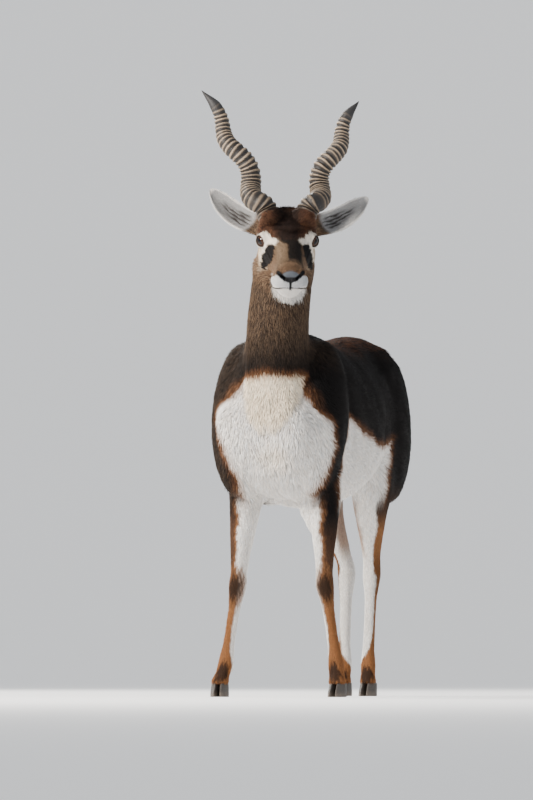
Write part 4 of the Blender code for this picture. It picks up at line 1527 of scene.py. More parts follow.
        # The neck is grizzled and the back is nearly black; grey laid on the right shoulder alone is a
        # painted sunlit sheen
        grey = ramp(z, 0.705, 0.850) * ramp(y, -0.16, -0.26)
        shoulder_sheen = 0.30 * ramp(-x, 0.02, 0.12) * ramp(y, -0.10, -0.25)
        grey = np.maximum(grey, shoulder_sheen)
        dark_root = mixed(at.filled(p.dark), p.grizzle, grey)
        dark_tip = mixed(at.filled(p.dark) * 1.2, p.grizzle_tip, grey * 0.8)
        # Upward faces of the back get rufous tips, partly the coat's own brown tips and partly painted
        # sunlight on its top
        ridge = ramp(at.normals[:, 2], 0.55, 0.95) * ramp(z, 0.74, 0.80) * ramp(y, -0.12, 0.0)
        dark_tip = mixed(dark_tip, (0.150, 0.060, 0.030), ridge * 0.75)
        fringe = ramp(inside, 0.022, 0.003)
        dark_root = mixed(dark_root, p.rufous, fringe * 0.5)
        dark_tip = mixed(dark_tip, p.tan, fringe * 0.75)
        share = ramp(inside, -0.0020, 0.0030)
        edge = bell(inside + 0.002, 0.005) * 0.55
        root = mixed(mixed(root, dark_root, share), p.tan, edge)
        tip = mixed(mixed(tip, dark_tip, share), p.tan, edge)
        return root, tip

    def legs(self, at: Spots, wobble: Array) -> Pair:
        """The colours of the legs.

        Args:
            at: the places.
            wobble: the borders' unevenness there.

        Returns:
            Rows of colours at root and tip.
        """
        x, y, z = at.points.T
        root = at.filled(self.palette.white)
        for line in (*FORELEGS, *HINDLEGS):
            fore = line in FORELEGS
            mine = ((y > MIDDLE_Y) != fore) & ((x > LEGS_X) == (line.side is Side.LEFT))
            centre = line.middle(z)
            out = (x - centre[:, 0]) * line.side.value
            ahead = -(y - centre[:, 1])
            # Round a leg, the bearing is 0 in front, 90 outside, 180 behind and -90 inside
            bearing = np.degrees(np.arctan2(out, ahead))
            bearing = np.where(bearing < -150, bearing + 360, bearing)
            bearing = bearing + wobble * 2300 + 2.5 * np.sin(310 * z + 90 * out)
            shade = self.foreleg(at, line.side, bearing) if fore else self.hindleg(at, bearing)
            root = np.where(mine[:, None], shade, root)
        return root, root * 1.12

    def foreleg(self, at: Spots, side: Side, bearing: Array) -> Array:
        """A foreleg: a dark stripe outside down to a black knee, and tan below.

        Args:
            at: the places.
            side: which leg.
            bearing: their bearings round it, in degrees.

        Returns:
            Rows of colours.
        """
        p = self.palette
        z = at.points[:, 2]
        left = side is Side.LEFT
        starts = np.interp(z, (0.0, 0.06, 0.11, 0.21, 0.25, 0.29, 0.45), (-120, -95, -38, -22, -16, 0, 8))
        ends = np.interp(z, (0.05, 0.12, 0.25, 0.45), (230, 190, 150, 160))
        inside = np.minimum(bearing - starts, ends - bearing)
        fade = (0.42, 0.30) if left else (0.46, 0.36)
        brown = mixed(at.filled(p.dark), (0.075, 0.038, 0.022), ramp(z, *fade))
        shade = mixed(brown, p.orange, ramp(z, 0.240, 0.205))
        shade = mixed(shade, p.tan, ramp(inside, 24, 4) * ramp(z, 0.50, 0.42) * 0.8)
        made = mixed(at.filled(p.white), shade, ramp(inside, -9, 9))
        knee = 14 if left else 2
        for colour, across, along, start, full, strength in (
            (p.tan, (knee, 80), (0.240, 0.050), 1.25, 0.80, 0.8),
            (p.black, (knee + 4, 82), (0.243, 0.044), 1.05, 0.35, 0.86),
            (p.black, (2, 58), (0.056, 0.030), 1.10, 0.50, 0.88),
        ):
            made = mixed(made, colour, self.spot(bearing, z, across, along, start, full) * strength)
        return made

    def hindleg(self, at: Spots, bearing: Array) -> Array:
        """A hind leg: white in front and inside, tan outside and behind.

        Args:
            at: the places.
            bearing: their bearings round it, in degrees.

        Returns:
            Rows of colours.
        """
        p = self.palette
        z = at.points[:, 2]
        heights = (0.0, 0.06, 0.10, 0.16, 0.24, 0.29, 0.40, 0.48)
        starts = np.interp(z, heights, (-130, -110, 10, 62, 60, 38, 48, 40))
        ends = np.interp(z, (0.05, 0.12, 0.25, 0.45), (240, 200, 190, 200))
        inside = np.minimum(bearing - starts, ends - bearing)
        shade = mixed(at.filled(p.tan) * 0.9, (0.05, 0.028, 0.018), ramp(z, 0.375, 0.43))
        hock = ramp(z, 0.225, 0.25) * ramp(z, 0.335, 0.305)
        shade = mixed(shade, np.array(p.orange) * 0.55, hock * 0.75)
        shade = mixed(shade, p.orange, ramp(z, 0.15, 0.09))
        made = mixed(at.filled(p.white), shade, ramp(inside, -10, 10))
        inner = ramp(bearing, -25, -60) * ramp(z, 0.30, 0.36)
        made = mixed(made, np.array(p.tan) * 0.95, inner * 0.75)
        return mixed(made, p.black, self.spot(bearing, z, (4, 56), (0.048, 0.024), 1.10, 0.60) * 0.88)

    @staticmethod
    def spot(bearing: Array, z: Array, across: Duo, along: Duo, start: float, full: float) -> Array:
        """How much a place on a leg belongs to a ragged patch.

        Args:
            bearing: the place's bearing round the leg, in degrees.
            z: its height.
            across: the patch's middle bearing and half its spread.
            along: the height of its middle and half its length.
            start: where the patch starts, in shares of that spread and length.
            full: where it reaches its full colour.

        Returns:
            The share at each place.
        """
        reach = np.hypot((bearing - across[0]) / across[1], (z - along[0]) / along[1])
        ragged = np.sin(0.17 * bearing + 190 * z) + np.sin(0.29 * bearing - 260 * z + 1.0)
        return ramp(reach + 0.11 * ragged, start, full)

    def tail(self, at: Spots) -> Pair:
        """The tail, dark above and white below, at root and tip of the hair."""
        outside = ramp(at.normals[:, 1], -0.25, 0.15)
        root = mixed(at.filled(self.palette.white), self.palette.dark, outside)
        return root, mixed(root, self.palette.grizzle, outside * 0.5)

    def face(self, at: Spots) -> Pair:
        """The colours of the face at root and tip of the hair.

        Args:
            at: the places.

        Returns:
            Rows of colours at root and tip.
        """
        p = self.palette
        u, v, w = at.head.T
        a, z = np.abs(v), at.points[:, 2]
        waves = np.sin(420 * u + 260 * w) + np.sin(510 * v - 330 * u + 1.3) + np.sin(700 * w + 450 * v)
        ragged = 0.0007 * waves
        root = at.filled(p.cheek)
        tip = mixed(root, (0.31, 0.20, 0.12), np.full(len(root), 0.75))

        def lay(share: Array, colour: Rgb, tip_colour: Rgb | None = None) -> None:
            """Lays a colour over root and tip."""
            nonlocal root, tip
            root = mixed(root, colour, share)
            tip = mixed(tip, tip_colour or colour, share)

        def level(path: Array, reach: float, soft: float) -> Array:
            """How much a place on the muzzle lies within reach of a line, seen from in front."""
            away = from_line(at.folded * (0, 1, 1), path * (0, 1, 1))
            return ramp(away, reach + soft, reach - soft) * ramp(u, 0.135, 0.145)

        lay(ramp(u, 0.02, -0.02) * ramp(w, -0.02, -0.05), p.grizzle, p.grizzle_tip)
        # Bridge of the nose: black in the middle, paler and mottled to one side and towards the nose
        bridge = ramp(a + ragged, 0.030, 0.023) * ramp(w, -0.052, -0.038)
        bridge = bridge * ramp(u, 0.060, 0.085) * ramp(u, 0.204, 0.196)
        lay(bridge, (0.040, 0.026, 0.018), (0.13, 0.088, 0.055))
        lower = bridge * ramp(u, 0.128, 0.165)
        lay(lower * 0.9, (0.055, 0.036, 0.024), (0.27, 0.185, 0.115))
        streak = bridge * ramp(-v, 0.001, 0.008) * ramp(u + ragged * 3, 0.106, 0.120) * ramp(u, 0.192, 0.176)
        lay(streak * 0.9, (0.115, 0.074, 0.045), (0.34, 0.25, 0.165))
        reach = np.interp(u, (0.06, 0.115, 0.130, 0.19), (0.024, 0.018, 0.003, 0.003))
        centre = bridge * ramp(-v + ragged, reach + 0.003, reach - 0.004) * ramp(v, 0.031, 0.024)
        centre = centre * ramp(u + ragged * 4, 0.198, 0.172)
        lay(centre * 0.97, p.black, (0.022, 0.016, 0.013))
        lay(ramp(u, 0.186, 0.196) * bridge * 0.8, (0.16, 0.095, 0.055), (0.30, 0.20, 0.12))
        # Cream ring of the eye, its spur towards the bridge, and the pale cheek below it
        for path, reach, soft, strength, colour in (
            (((0.060, 0.056, -0.060), (0.086, 0.053, -0.086)), 0.011, 0.008, 0.6, p.cream),
            (((0.058, 0.054, -0.034), (0.086, 0.050, -0.037)), 0.0165, 0.004, 1, (0.78, 0.72, 0.64)),
            (self.spur, 0.0092, 0.004, 1, (0.80, 0.73, 0.64)),
            (((0.076, 0.055, -0.055), (0.088, 0.054, -0.076)), 0.0085, 0.005, 0.85, (0.80, 0.72, 0.62)),
        ):
            away = from_line(at.folded, np.array(path)) + ragged
            lay(ramp(away, reach + soft, reach - soft) * strength, colour)
        # Crown and forehead, shaggy and dark in the middle
        edge = np.interp(a, (0.0, 0.018, 0.032, 0.048, 0.062), (0.113, 0.109, 0.096, 0.071, 0.050))
        crown = ramp(u + ragged * 3, edge + 0.003, edge - 0.004)
        crown = crown * ramp(w, -0.042, -0.024) * ramp(u, -0.045, -0.020)
        lay(crown, (0.036, 0.017, 0.011), (0.140, 0.064, 0.034))
        dark = crown * ramp(a + ragged, 0.034, 0.014) * ramp(u, -0.005, 0.035)
        lay(dark, (0.010, 0.0065, 0.006), (0.036, 0.020, 0.014))
        # Dark patch of the scent gland in front of the eye
        height, aside = z + ragged, a + ragged
        levels = (0.936, 0.941, 0.950, 0.966, 0.982, 0.988, 0.991)
        inner = np.interp(height, levels, (0.0480, 0.0435, 0.0375, 0.0310, 0.0290, 0.0305, 0.0350))
        outer = np.interp(height, levels, (0.0490, 0.0530, 0.0550, 0.0540, 0.0480, 0.0440, 0.0390))
        gland = ramp(aside, inner - 0.001, inner + 0.001) * ramp(aside, outer + 0.001, outer - 0.001)
        gland = gland * ramp(u, 0.060, 0.070) * ramp(height, 0.935, 0.940) * ramp(height, 0.991, 0.988)
        lay(gland, p.black, (0.012, 0.010, 0.010))
        # Muzzle, lips and chin
        lip = (u - 0.180) * 0.9 + (-0.060 - w) + ragged
        under = -0.090 - w + (u - 0.11) * 0.25 + ragged
        jaw = ramp(under, 0.0, 0.008) * ramp(u, 0.08, 0.11)
        jaw = jaw * np.maximum(ramp(a, 0.034, 0.026), ramp(u, 0.14, 0.16))
        below_nose = ramp(z + ragged * 2, 0.921, 0.915)
        white = np.maximum(ramp(lip - 0.003, 0.0, 0.006) * ramp(u, 0.140, 0.162) * below_nose, jaw)
        lay(white, p.white)
        # The upper lip is painted blue-grey over its white, as painted shade under the nose
        grey = ramp(u, 0.176, 0.196) * ramp(w, -0.076, -0.070) * white
        lay(grey * 0.80, (0.44, 0.465, 0.50))
        # Bare nose pad, grey-blue above as a painted highlight on the wet dark skin and black lower down
        # between the nostrils, with black nostrils, the groove below it and the line of the mouth
        pad = self.nose_pad(at)
        lay(pad, p.nose_grey)
        lay(pad * ramp(z, 0.9165, 0.9125) * ramp(a, 0.016, 0.009) * 0.95, (0.012, 0.012, 0.014))
        nose = ramp(u, 0.190, 0.197)
        lay(level(HeadSkin().slit, 0.0050, 0.0010) * nose, (0.005, 0.005, 0.006))
        groove = np.array([(0.218, 0.0, -0.050), (0.2155, 0.0, -0.071)])
        lay(level(groove, 0.0016, 0.0008) * nose, (0.012, 0.011, 0.012))
        lay(level(HeadSkin().mouth_line, 0.0016, 0.0008), (0.016, 0.013, 0.012))
        for eye in EYES:
            lay(ramp(eye.from_rim(at), 0.0026, 0.0018), (0.016, 0.011, 0.009))
        return root, tip

    @staticmethod
    def nose_pad(at: Spots) -> Array:
        """How much a place belongs to the bare pad between and above the nostrils."""
        u, v, _ = at.head.T
        height, aside = at.points[:, 2], np.abs(v)
        top = 0.9275 - 0.0120 * (aside / 0.024) ** 2
        heights = (0.886, 0.902, 0.9075, 0.914, 0.930)
        half = np.interp(height, heights, (0.0020, 0.0026, 0.0150, 0.0245, 0.027))
        pad = ramp(height, top + 0.0012, top - 0.0012) * ramp(aside, half + 0.0014, half - 0.0010)
        return pad * ramp(u, 0.192, 0.196) * ramp(height, 0.886, 0.889)

    def ear(self, ear: EarForm, at: Spots) -> tuple[Array, Array, Array]:
        """An ear, pale in its cup with dark streaks and painted shade in its deep middle, and tan outside
        with a pale rim.

        Args:
            ear: which ear.
            at: the places.

        Returns:
            Rows of colours at root and tip, and how much each place belongs to the ear.
        """
        p = self.palette
        share, width, inward, belongs = ear.read(at)
        back = mixed(at.filled(p.tan) * 0.75, p.grizzle, ramp(share, 0.55, 0.95) * 0.7)
        uneven = 0.5 * np.sin(19 * share + 3 * width) + 0.5 * np.sin(37 * share - 7 * width + 1.7)
        # The cup is painted darker towards its deep middle, as painted shade in the hollow
        cup_shade = ramp(np.abs(width + 0.05), 0.72, 0.25) * ramp(share, 0.12, 0.30) * ramp(share, 0.90, 0.55)
        cup = mixed(at.filled(p.ear_grey), (0.10, 0.098, 0.10), cup_shade * (0.60 + 0.25 * uneven))
        for line, start, end in (
            (-0.50, 0.20, 0.66),
            (-0.16, 0.13, 0.84),
            (0.16, 0.15, 0.78),
            (0.46, 0.20, 0.60),
        ):
            bend = line * (1 - 0.30 * share) + 0.05 * uneven
            streak = ramp(np.abs(width - bend), 0.12 + 0.04 * uneven, 0.03) * ramp(share, start, start + 0.12)
            cup = mixed(cup, (0.030, 0.024, 0.022), streak * ramp(share, end, end - 0.22) * 0.9)
        made = mixed(back, cup, ramp(inward, -0.05, 0.25))
        rim = ramp(np.abs(width), 0.82, 0.92) * ramp(share, 0.15, 0.3)
        rim = np.maximum(rim, ramp(share, 0.93, 0.98))
        made = mixed(made, p.white, rim * 0.9)
        return made, np.minimum(made * 1.15, 0.85), belongs


@dataclass(frozen=True)
class Coat:
    """The coat's depth, length, thickness and lie over the body, and the tufts that make it."""

    trunk_depth: float = 0.0062
    neck_depth: float = 0.0050
    head_depth: float = 0.0011
    leg_depth: float = 0.0014
    tail_depth: float = 0.0030
    crown_depth: float = 0.0025
    loose_height: float = 0.004
    length_range: Duo = (0.72, 1.28)
    width_range: Duo = (0.75, 1.25)
    height_range: Duo = (0.70, 1.22)
    lean_spread: float = 0.17
    tone_spread: float = 0.13
    warmth_spread: float = 0.03
    grizzled_share: float = 0.52
    cell: float = 0.02
    markings: Markings = field(default_factory=Markings)

    def depth_at(self, at: Spots) -> Array:
        """How far the skin lies below the tips of the coat."""
        leg = self.leg_depth * (0.35 + 0.65 * ramp(at.points[:, 2], 0.03, 0.30))
        depth = at.zones.blend(self.head_depth, self.neck_depth, leg, self.tail_depth, self.trunk_depth)
        return depth + self.crown_depth * self.crown(at)

    @staticmethod
    def crown(at: Spots) -> Array:
        """How much a place belongs to the thick tuft between and before the horns."""
        u, v, w = at.head.T
        side = ramp(np.abs(v), 0.062, 0.044) * ramp(w, -0.036, -0.016)
        return ramp(u, 0.104 - 0.55 * np.abs(v), 0.070 - 0.55 * np.abs(v)) * ramp(u, -0.034, -0.008) * side

    @staticmethod
    def brisket(at: Spots) -> Array:
        """How much a place belongs to the underside of the breast, where the hair hangs loosely."""
        low = ramp(-at.normals[:, 2], 0.2, 0.7) * ramp(at.points[:, 2], 0.55, 0.47)
        return low * ramp(at.points[:, 1], -0.02, -0.12) * at.zones.trunk

    @staticmethod
    def bare(at: Spots) -> Array:
        """How much a place is bare skin: nose pad, lips' edges, nostrils and lids.

        Args:
            at: the places.

        Returns:
            The shares.
        """
        mouth = ramp(from_line(at.folded, HeadSkin().mouth_line), 0.0042, 0.0030)
        bare = np.maximum(Markings.nose_pad(at), mouth)
        for eye in EYES:
            bare = np.maximum(bare, ramp(eye.from_rim(at), 0.0042, 0.0032))
            offset = at.points - eye.centre
            away = np.linalg.norm(offset, axis=1)
            out, ahead, above = (offset @ eye.axes.T).T
            spread = np.hypot(ahead / math.tan(eye.corner_reach), above / math.tan(eye.lid_reach))
            open_lids = (out > 0) & (spread < out * 1.08) & (away < eye.radius + 0.014)
            bare = np.maximum(bare, (open_lids | (away < eye.radius + 0.0014)) * 1.0)
        for horn in HORNS:
            axis = unit(horn.run)
            offset = at.points - horn.seat
            height = offset @ axis
            radial = np.linalg.norm(offset - height[:, None] * axis, axis=1)
            bare = np.maximum(bare, (radial < horn.radius * 0.97) * (height > -0.002) * 1.0)
        return bare

    def lie(self, at: Spots) -> Array:
        """The way the hair points along the skin, at length one.

        Args:
            at: the places.

        Returns:
            The directions, one row each.
        """
        across = np.abs(at.normals[:, 1])
        trunk = np.stack([at.normals[:, 0] * 0.25, 1.0 - across, -0.38 - 0.9 * across], axis=1)
        belly = ramp(-at.normals[:, 2], 0.3, 0.8)[:, None]
        trunk = trunk * (1 - belly) + np.array([0, 0.75, -0.65]) * belly
        _, v, w = at.head.T
        along, left, rising = HEAD.axes
        sides = np.sign(v) * ramp(np.abs(v), 0.0, 0.03)
        head = -along + np.outer(sides * 0.35, left) - rising * 0.25 * ramp(-w, 0.03, 0.08)[:, None]
        crown = self.crown(at)[:, None]
        head = head * (1 - crown) + (rising * 0.9 + along * 0.55 + np.outer(sides * 0.7, left)) * crown
        made = at.zones.blend(head, (0.0, 0.18, -1.0), (0.0, 0.12, -1.0), (0.0, 0.25, -1.0), trunk)
        for eye in EYES:
            offset = at.points - eye.centre
            near = ramp(np.linalg.norm(offset, axis=1), eye.radius + 0.016, eye.radius + 0.006)[:, None]
            outward = unit(offset - np.outer(offset @ eye.axes[0], eye.axes[0]))
            made = unit(made) * (1 - near) + outward * near
        for ear in EARS:
            _, width, _, belongs = ear.read(at)
            tip, side, _ = ear.axes
            way = tip + np.outer(width * 0.45, side)
            made = made * (1 - belongs[:, None]) + way * belongs[:, None]
        return flattened(made, at.normals)

    def measures(self, at: Spots) -> tuple[Array, Array, Array, Array]:
        """The tufts' length, width, height and number to the square metre.

        Args:
            at: the places.

        Returns:
            Four rows of numbers.
        """
        zones = at.zones
        u, _, w = at.head.T
        muzzle = ramp(u, 0.13, 0.19)
        crown = self.crown(at)
        cheek = ramp(u, 0.10, 0.02) * ramp(-w, 0.03, 0.08)
        low = ramp(at.points[:, 2], 0.40, 0.25)
        chin = muzzle * ramp(-w, 0.082, 0.098)
        head_long = 0.0064 - 0.0030 * muzzle + 0.0120 * crown + 0.0060 * cheek + 0.0070 * chin
        head_wide = 0.00095 - 0.00035 * muzzle + 0.0002 * cheek
        length = zones.blend(head_long, 0.0200, 0.0125 - 0.0060 * low, 0.030, 0.0215)
        width = zones.blend(head_wide, 0.00135, 0.0015 - 0.0005 * low, 0.0024, 0.0018)
        head_crowd = 430e3 + 120e3 * muzzle + 260e3 * crown
        crowd = zones.blend(head_crowd, 262e3, 200e3 + 60e3 * low, 110e3, 122e3)
        height = self.depth_at(at) * 1.02 + 0.0003 + 0.0052 * crown + 0.0010 * chin * zones.head
        throat = self.markings.throat(at, np.zeros(len(low)))
        length = length * (1 - 0.50 * throat) + 0.008 * self.brisket(at)
        width = width * (1 - 0.30 * throat)
        crowd = crowd * (1 + 0.45 * throat)
        for eye in EYES:
            away = np.linalg.norm(at.points - eye.centre, axis=1)
            near = ramp(away, eye.radius + 0.016, eye.radius + 0.005)
            length = length * (1 - 0.5 * near)
            height = height * (1 - 0.3 * near)
        for ear in EARS:
            share, across, inward, belongs = ear.read(at)
            fringe = ramp(inward, 0.0, 0.3) * ramp(np.abs(across), 0.35, 0.85)
            end = ramp(share, 0.95, 0.75)
            elsewhere = 1 - belongs
            length = length * elsewhere + (0.0038 + 0.0012 * fringe) * (0.5 + 0.5 * end) * belongs
            width = width * elsewhere + 0.0008 * belongs
            crowd = crowd * elsewhere + 330e3 * belongs
            height = height * elsewhere + (0.0009 + 0.0010 * fringe * end) * belongs
        return length, width, height, crowd * (1 - self.bare(at))

    def roots(self, skin: Body, rng: np.random.Generator) -> Spots:
        """Where tufts stand on the skin, spread evenly for each part's own thickness.

        Args:
            skin: the skin.
            rng: the source of chance.

        Returns:
            The places of their roots.
        """
        mesh = skin.data
        mesh.calc_loop_triangles()
        corners = np.empty(len(mesh.loop_triangles) * 3, np.int32)
        mesh.loop_triangles.foreach_get("vertices", corners)
        corners = corners.reshape(-1, 3)
        on_skin = Spots.on(skin)
        triangles = on_skin.points[corners]
        cross = np.cross(triangles[:, 1] - triangles[:, 0], triangles[:, 2] - triangles[:, 0])
        area = np.linalg.norm(cross, axis=1) / 2
        middle = triangles.mean(1)
        crowd = self.measures(Spots(middle, unit(cross)))[3]
        # Neighbouring faces follow one another, so that the draw spreads the tufts evenly
        cells = np.floor(middle / self.cell).astype(np.int64)
        order = np.lexsort((middle[:, 0], cells[:, 0], cells[:, 1], cells[:, 2]))
        total = np.cumsum((area * crowd)[order])
        count = int(total[-1])
        draw = (np.arange(count) + rng.uniform(0, 1, count)) * (total[-1] / count)
        chosen = corners[order[np.clip(np.searchsorted(total, draw), 0, len(order) - 1)]]
        a, b = rng.uniform(0, 1, (2, count))
        flip = a + b > 1
        a, b = np.where(flip, 1 - a, a), np.where(flip, 1 - b, b)
        shares = np.stack([1 - a - b, a, b], axis=1)[:, :, None]
        places, normals = ((rows[chosen] * shares).sum(1) for rows in (on_skin.points, on_skin.normals))
        return Spots(places, unit(normals))

    def grow(self, skin: Body) -> list[Body]:
        """The tufts of the whole coat.

        Args:
            skin: the skin that they stand on.

        Returns:
            The coat's pieces.
        """
        rng = np.random.default_rng(SEED)
        at = self.roots(skin, rng)
        places, normals, count = at.points, at.normals, len(at.points)
        LOG.info("%d tufts", count)
        length, width, height, _ = self.measures(at)
        way = self.lie(at)
        side = np.cross(normals, way)
        # Neighbouring tufts sway together a little, and each leans its own way
        first, second = (places @ np.array(waves) for waves in ((95.0, 60.0, 80.0), (-70.0, 130.0, 45.0)))
        sway = 0.16 * np.sin(first) + 0.12 * np.sin(second)
        sway = sway + rng.normal(0, self.lean_spread, count)
        way = unit(way + side * sway[:, None])
        side = np.cross(normals, way)
        length = length * rng.uniform(*self.length_range, count)
        width = width * rng.uniform(*self.width_range, count)
        height = height * rng.uniform(*self.height_range, count)
        height = height + self.loose_height * self.brisket(at) * rng.uniform(0, 1, count) ** 2
        root, tip = self.markings.colours(at)
        tone = rng.normal(1.0, self.tone_spread, count)[:, None]
        warm = rng.normal(0.0, self.warmth_spread, count)[:, None] * np.array([1.0, 0.1, -0.8])
        grizzled = (rng.uniform(0, 1, count) < self.grizzled_share)[:, None]
        tip = np.where(grizzled, tip, root * 0.85 + tip * 0.15)
        root, tip = root * tone * (1 + warm), tip * tone * (1 + warm)
        whole = Tufts(places, normals, way, side, length, width, height, root, tip)
        return [whole.only(mine).piece(f"coat_{name}", flat) for name, mine, flat in self.shares(at)]

    @staticmethod
    def shares(at: Spots) -> list[tuple[str, Array, Array]]:
        """Parts the coat into pieces, each with an unwrap of its stretch of skin.

        Args:
            at: the tufts' roots.

        Returns:
            For each piece its name, which tufts it holds, and their places on its unwrap, from 0 to 1.
        """
        zones = at.zones
        stack = np.stack([zones.head, zones.neck, zones.trunk, zones.tail, zones.leg], axis=1)
        head, neck, trunk, tail, leg = (stack.argmax(1) == i for i in range(5))
        ears = [form.read(at)[3] > 0.5 for form in EARS]
        skull = ~(ears[0] | ears[1])
        x, y, z = at.points.T
        u, v, w = at.head.T
        middle = Markings().middle_x
        round_trunk = np.arctan2(np.abs(x - middle), z - 0.61)
        found = []
        for i, side in enumerate(Side):
            here = (x > middle) == (side is Side.LEFT)
            form, word = EARS[i], side.word
            tip, across, facing = form.axes
            offset = at.points - form.root
            spread = np.arctan2(offset @ across, offset @ facing + 0.006)
            found.append((f"ear_{word}", ears[i], spread, offset @ tip))
            face = head & skull & ((v > 0) == (side is Side.LEFT))
            found.append((f"head_{word}", face, np.arctan2(np.abs(v), w + 0.055), u))
            found.append((f"neck_{word}", neck & skull & here, np.arctan2(x, y + 0.285), z))
            for part, start, end in (("shoulder", -9, -0.13), ("barrel", -0.13, 0.17), ("rump", 0.17, 9)):
                mine = trunk & skull & here & (y >= start) & (y < end)
                found.append((f"{part}_{word}", mine, round_trunk, y))
            for part, stretch, lines in (
                ("foreleg", y < MIDDLE_Y, FORELEGS),
                ("hindleg", y >= MIDDLE_Y, HINDLEGS),
            ):
                centre = lines[i].middle(z)
                turned = np.arctan2(x - centre[:, 0], y - centre[:, 1])
                found.append((f"{part}_{word}", leg & skull & here & stretch, turned, z))
        found.append(("tail", tail & skull, np.arctan2(x - TAIL_X, y - 0.45), z))
        made = []
        for name, mine, first, second in found:
            flat = np.stack([first[mine], second[mine]], axis=1)
            low, high = flat.min(0), flat.max(0)
            made.append((name, mine, 0.01 + 0.98 * (flat - low) / (high - low + 1e-9)))
        return made


@dataclass(frozen=True)
class Tufts:
    """Slim, bent, tapered tufts, one a row."""

    places: Array
    normals: Array
    way: Array
    side: Array
    length: Array
    width: Array
    height: Array
    root: Array
    tip: Array
    bend: float = 0.42
    patch: float = 0.0014

    def only(self, mine: Array) -> "Tufts":
        """Those of the tufts that belong to one piece."""
        return Tufts(*(getattr(self, each.name)[mine] for each in fields(self)[:9]))

    def piece(self, name: str, flat: Array) -> Body:
        """One piece of the coat.

        Args:
            name: the piece's name.
            flat: the tufts' places on the unwrap of the skin.

        Returns:
            The new object.
        """
        count, normals, way, side = len(self.places), self.normals, self.way, self.side
        length, width, height = (rows[:, None] for rows in (self.length, self.width, self.height))
        # A spindle: one point under the skin, three round the thickest part, and the free tip
        points = np.empty((count, 5, 3))
        colours = np.ones((count, 5, 4), np.float32)
        spots = np.tile(flat[:, None], (1, 5, 1))
        points[:, 0] = self.places - way * (length * 0.06) - normals * (height * 0.30)
        middle = self.places + way * (length * self.bend) + normals * (height * 0.80)
        half = side * (width / 2)
        points[:, 1] = middle + half
        points[:, 2] = middle + normals * (width * 0.40)
        points[:, 3] = middle - half
        points[:, 4] = self.places + way * length + normals * (height * 0.95)
        # The point under the skin is painted darker than the root colour, as painted shade at the roots
        colours[:, 0, :3] = self.root * 0.80
        colours[:, 1:4, :3] = mixed(self.root, self.tip, np.full(count, 0.45))[:, None]
        colours[:, 4, :3] = self.tip
        for corner, shift in ((0, (0.0, -1)), (1, (1, 0.0)), (3, (-1, 0.0)), (4, (0.0, 1))):
            spots[:, corner] += np.array(shift) * self.patch
        faces = np.array([(0, 2, 1), (0, 3, 2), (0, 1, 3), (4, 1, 2), (4, 2, 3), (4, 3, 1)])
        corners = (faces[None] + 5 * np.arange(count)[:, None, None]).reshape(-1)
        mesh = bpy.data.meshes.new(name)
        mesh.vertices.add(5 * count)
        mesh.vertices.foreach_set("co", points.astype(np.float32).ravel())
        mesh.loops.add(len(corners))
        mesh.loops.foreach_set("vertex_index", corners.astype(np.int32))
        mesh.polygons.add(len(corners) // 3)
        mesh.polygons.foreach_set("loop_start", np.arange(0, len(corners), 3, dtype=np.int32))
        mesh.update(calc_edges=True)
        mesh.polygons.foreach_set("use_smooth", np.ones(len(mesh.polygons), bool))
        kept = mesh.color_attributes.new(COAT_ATTRIBUTE, "FLOAT_COLOR", "POINT")
        kept.data.foreach_set("color", np.clip(colours, 0, 1).ravel())
        baked = mesh.uv_layers.new(name=BAKE_MAP)
        baked.data.foreach_set("uv", spots.reshape(-1, 2)[corners].astype(np.float32).ravel())
        # Shading follows the skin more than each tuft's own sides, so that the coat looks soft
        ends = (normals - way * 0.3, normals + way * 0.3)
        lean = unit(np.stack([ends[0], normals + side * 0.8, normals, normals - side * 0.8, ends[1]]))
        lean = lean.transpose(1, 0, 2).reshape(-1, 3).astype(np.float32)
        mesh.normals_split_custom_set_from_vertices(lean)
        made = bpy.data.objects.new(name, mesh)
        bpy.context.scene.collection.objects.link(made)
        return made


@dataclass(frozen=True)
class EyePiece:
    """An eyeball with a clear bulge, a brown iris and a level pupil."""

    socket: EyeSocket
    iris: float = math.radians(58)
    pupil: Duo = (0.56, 0.30)

    def piece(self) -> Body:
        """The finished eyeball."""
        bpy.ops.object.select_all(action="DESELECT")
        bpy.ops.mesh.primitive_uv_sphere_add(segments=96, ring_count=64, radius=1)
        made = named(f"eyeball_{self.socket.side.word}")
        out, ahead, above = self.socket.axes
        sphere = coordinates(made.data)
        # The ball's pole looks out of the head
        angle = np.arccos(np.clip(sphere[:, 2], -1, 1))
        bulge = 1 + 0.020 * ramp(angle, self.iris * 1.05, self.iris * 0.55)
        ball = sphere * (self.socket.radius * bulge)[:, None]
        turned = np.outer(ball[:, 2], out) + np.outer(ball[:, 0], ahead) + np.outer(ball[:, 1], above)
        set_coordinates(made.data, self.socket.centre + turned)
        cleaned(made)
        colours = np.tile((0.022, 0.013, 0.010), (len(sphere), 1)).astype(float)
        colours = mixed(colours, (0.042, 0.016, 0.007), ramp(angle, self.iris * 1.04, self.iris * 0.96))
        colours = mixed(colours, (0.010, 0.006, 0.005), bell(angle - self.iris, 0.07))
        wide, tall = self.pupil
        reach = np.hypot(sphere[:, 0] / wide, sphere[:, 1] / tall)
        pupil = ramp(reach, 1.08, 0.92) * (sphere[:, 2] > 0)
        paint(made, mixed(colours, (0.003, 0.003, 0.004), pupil))
        return shaded(made)


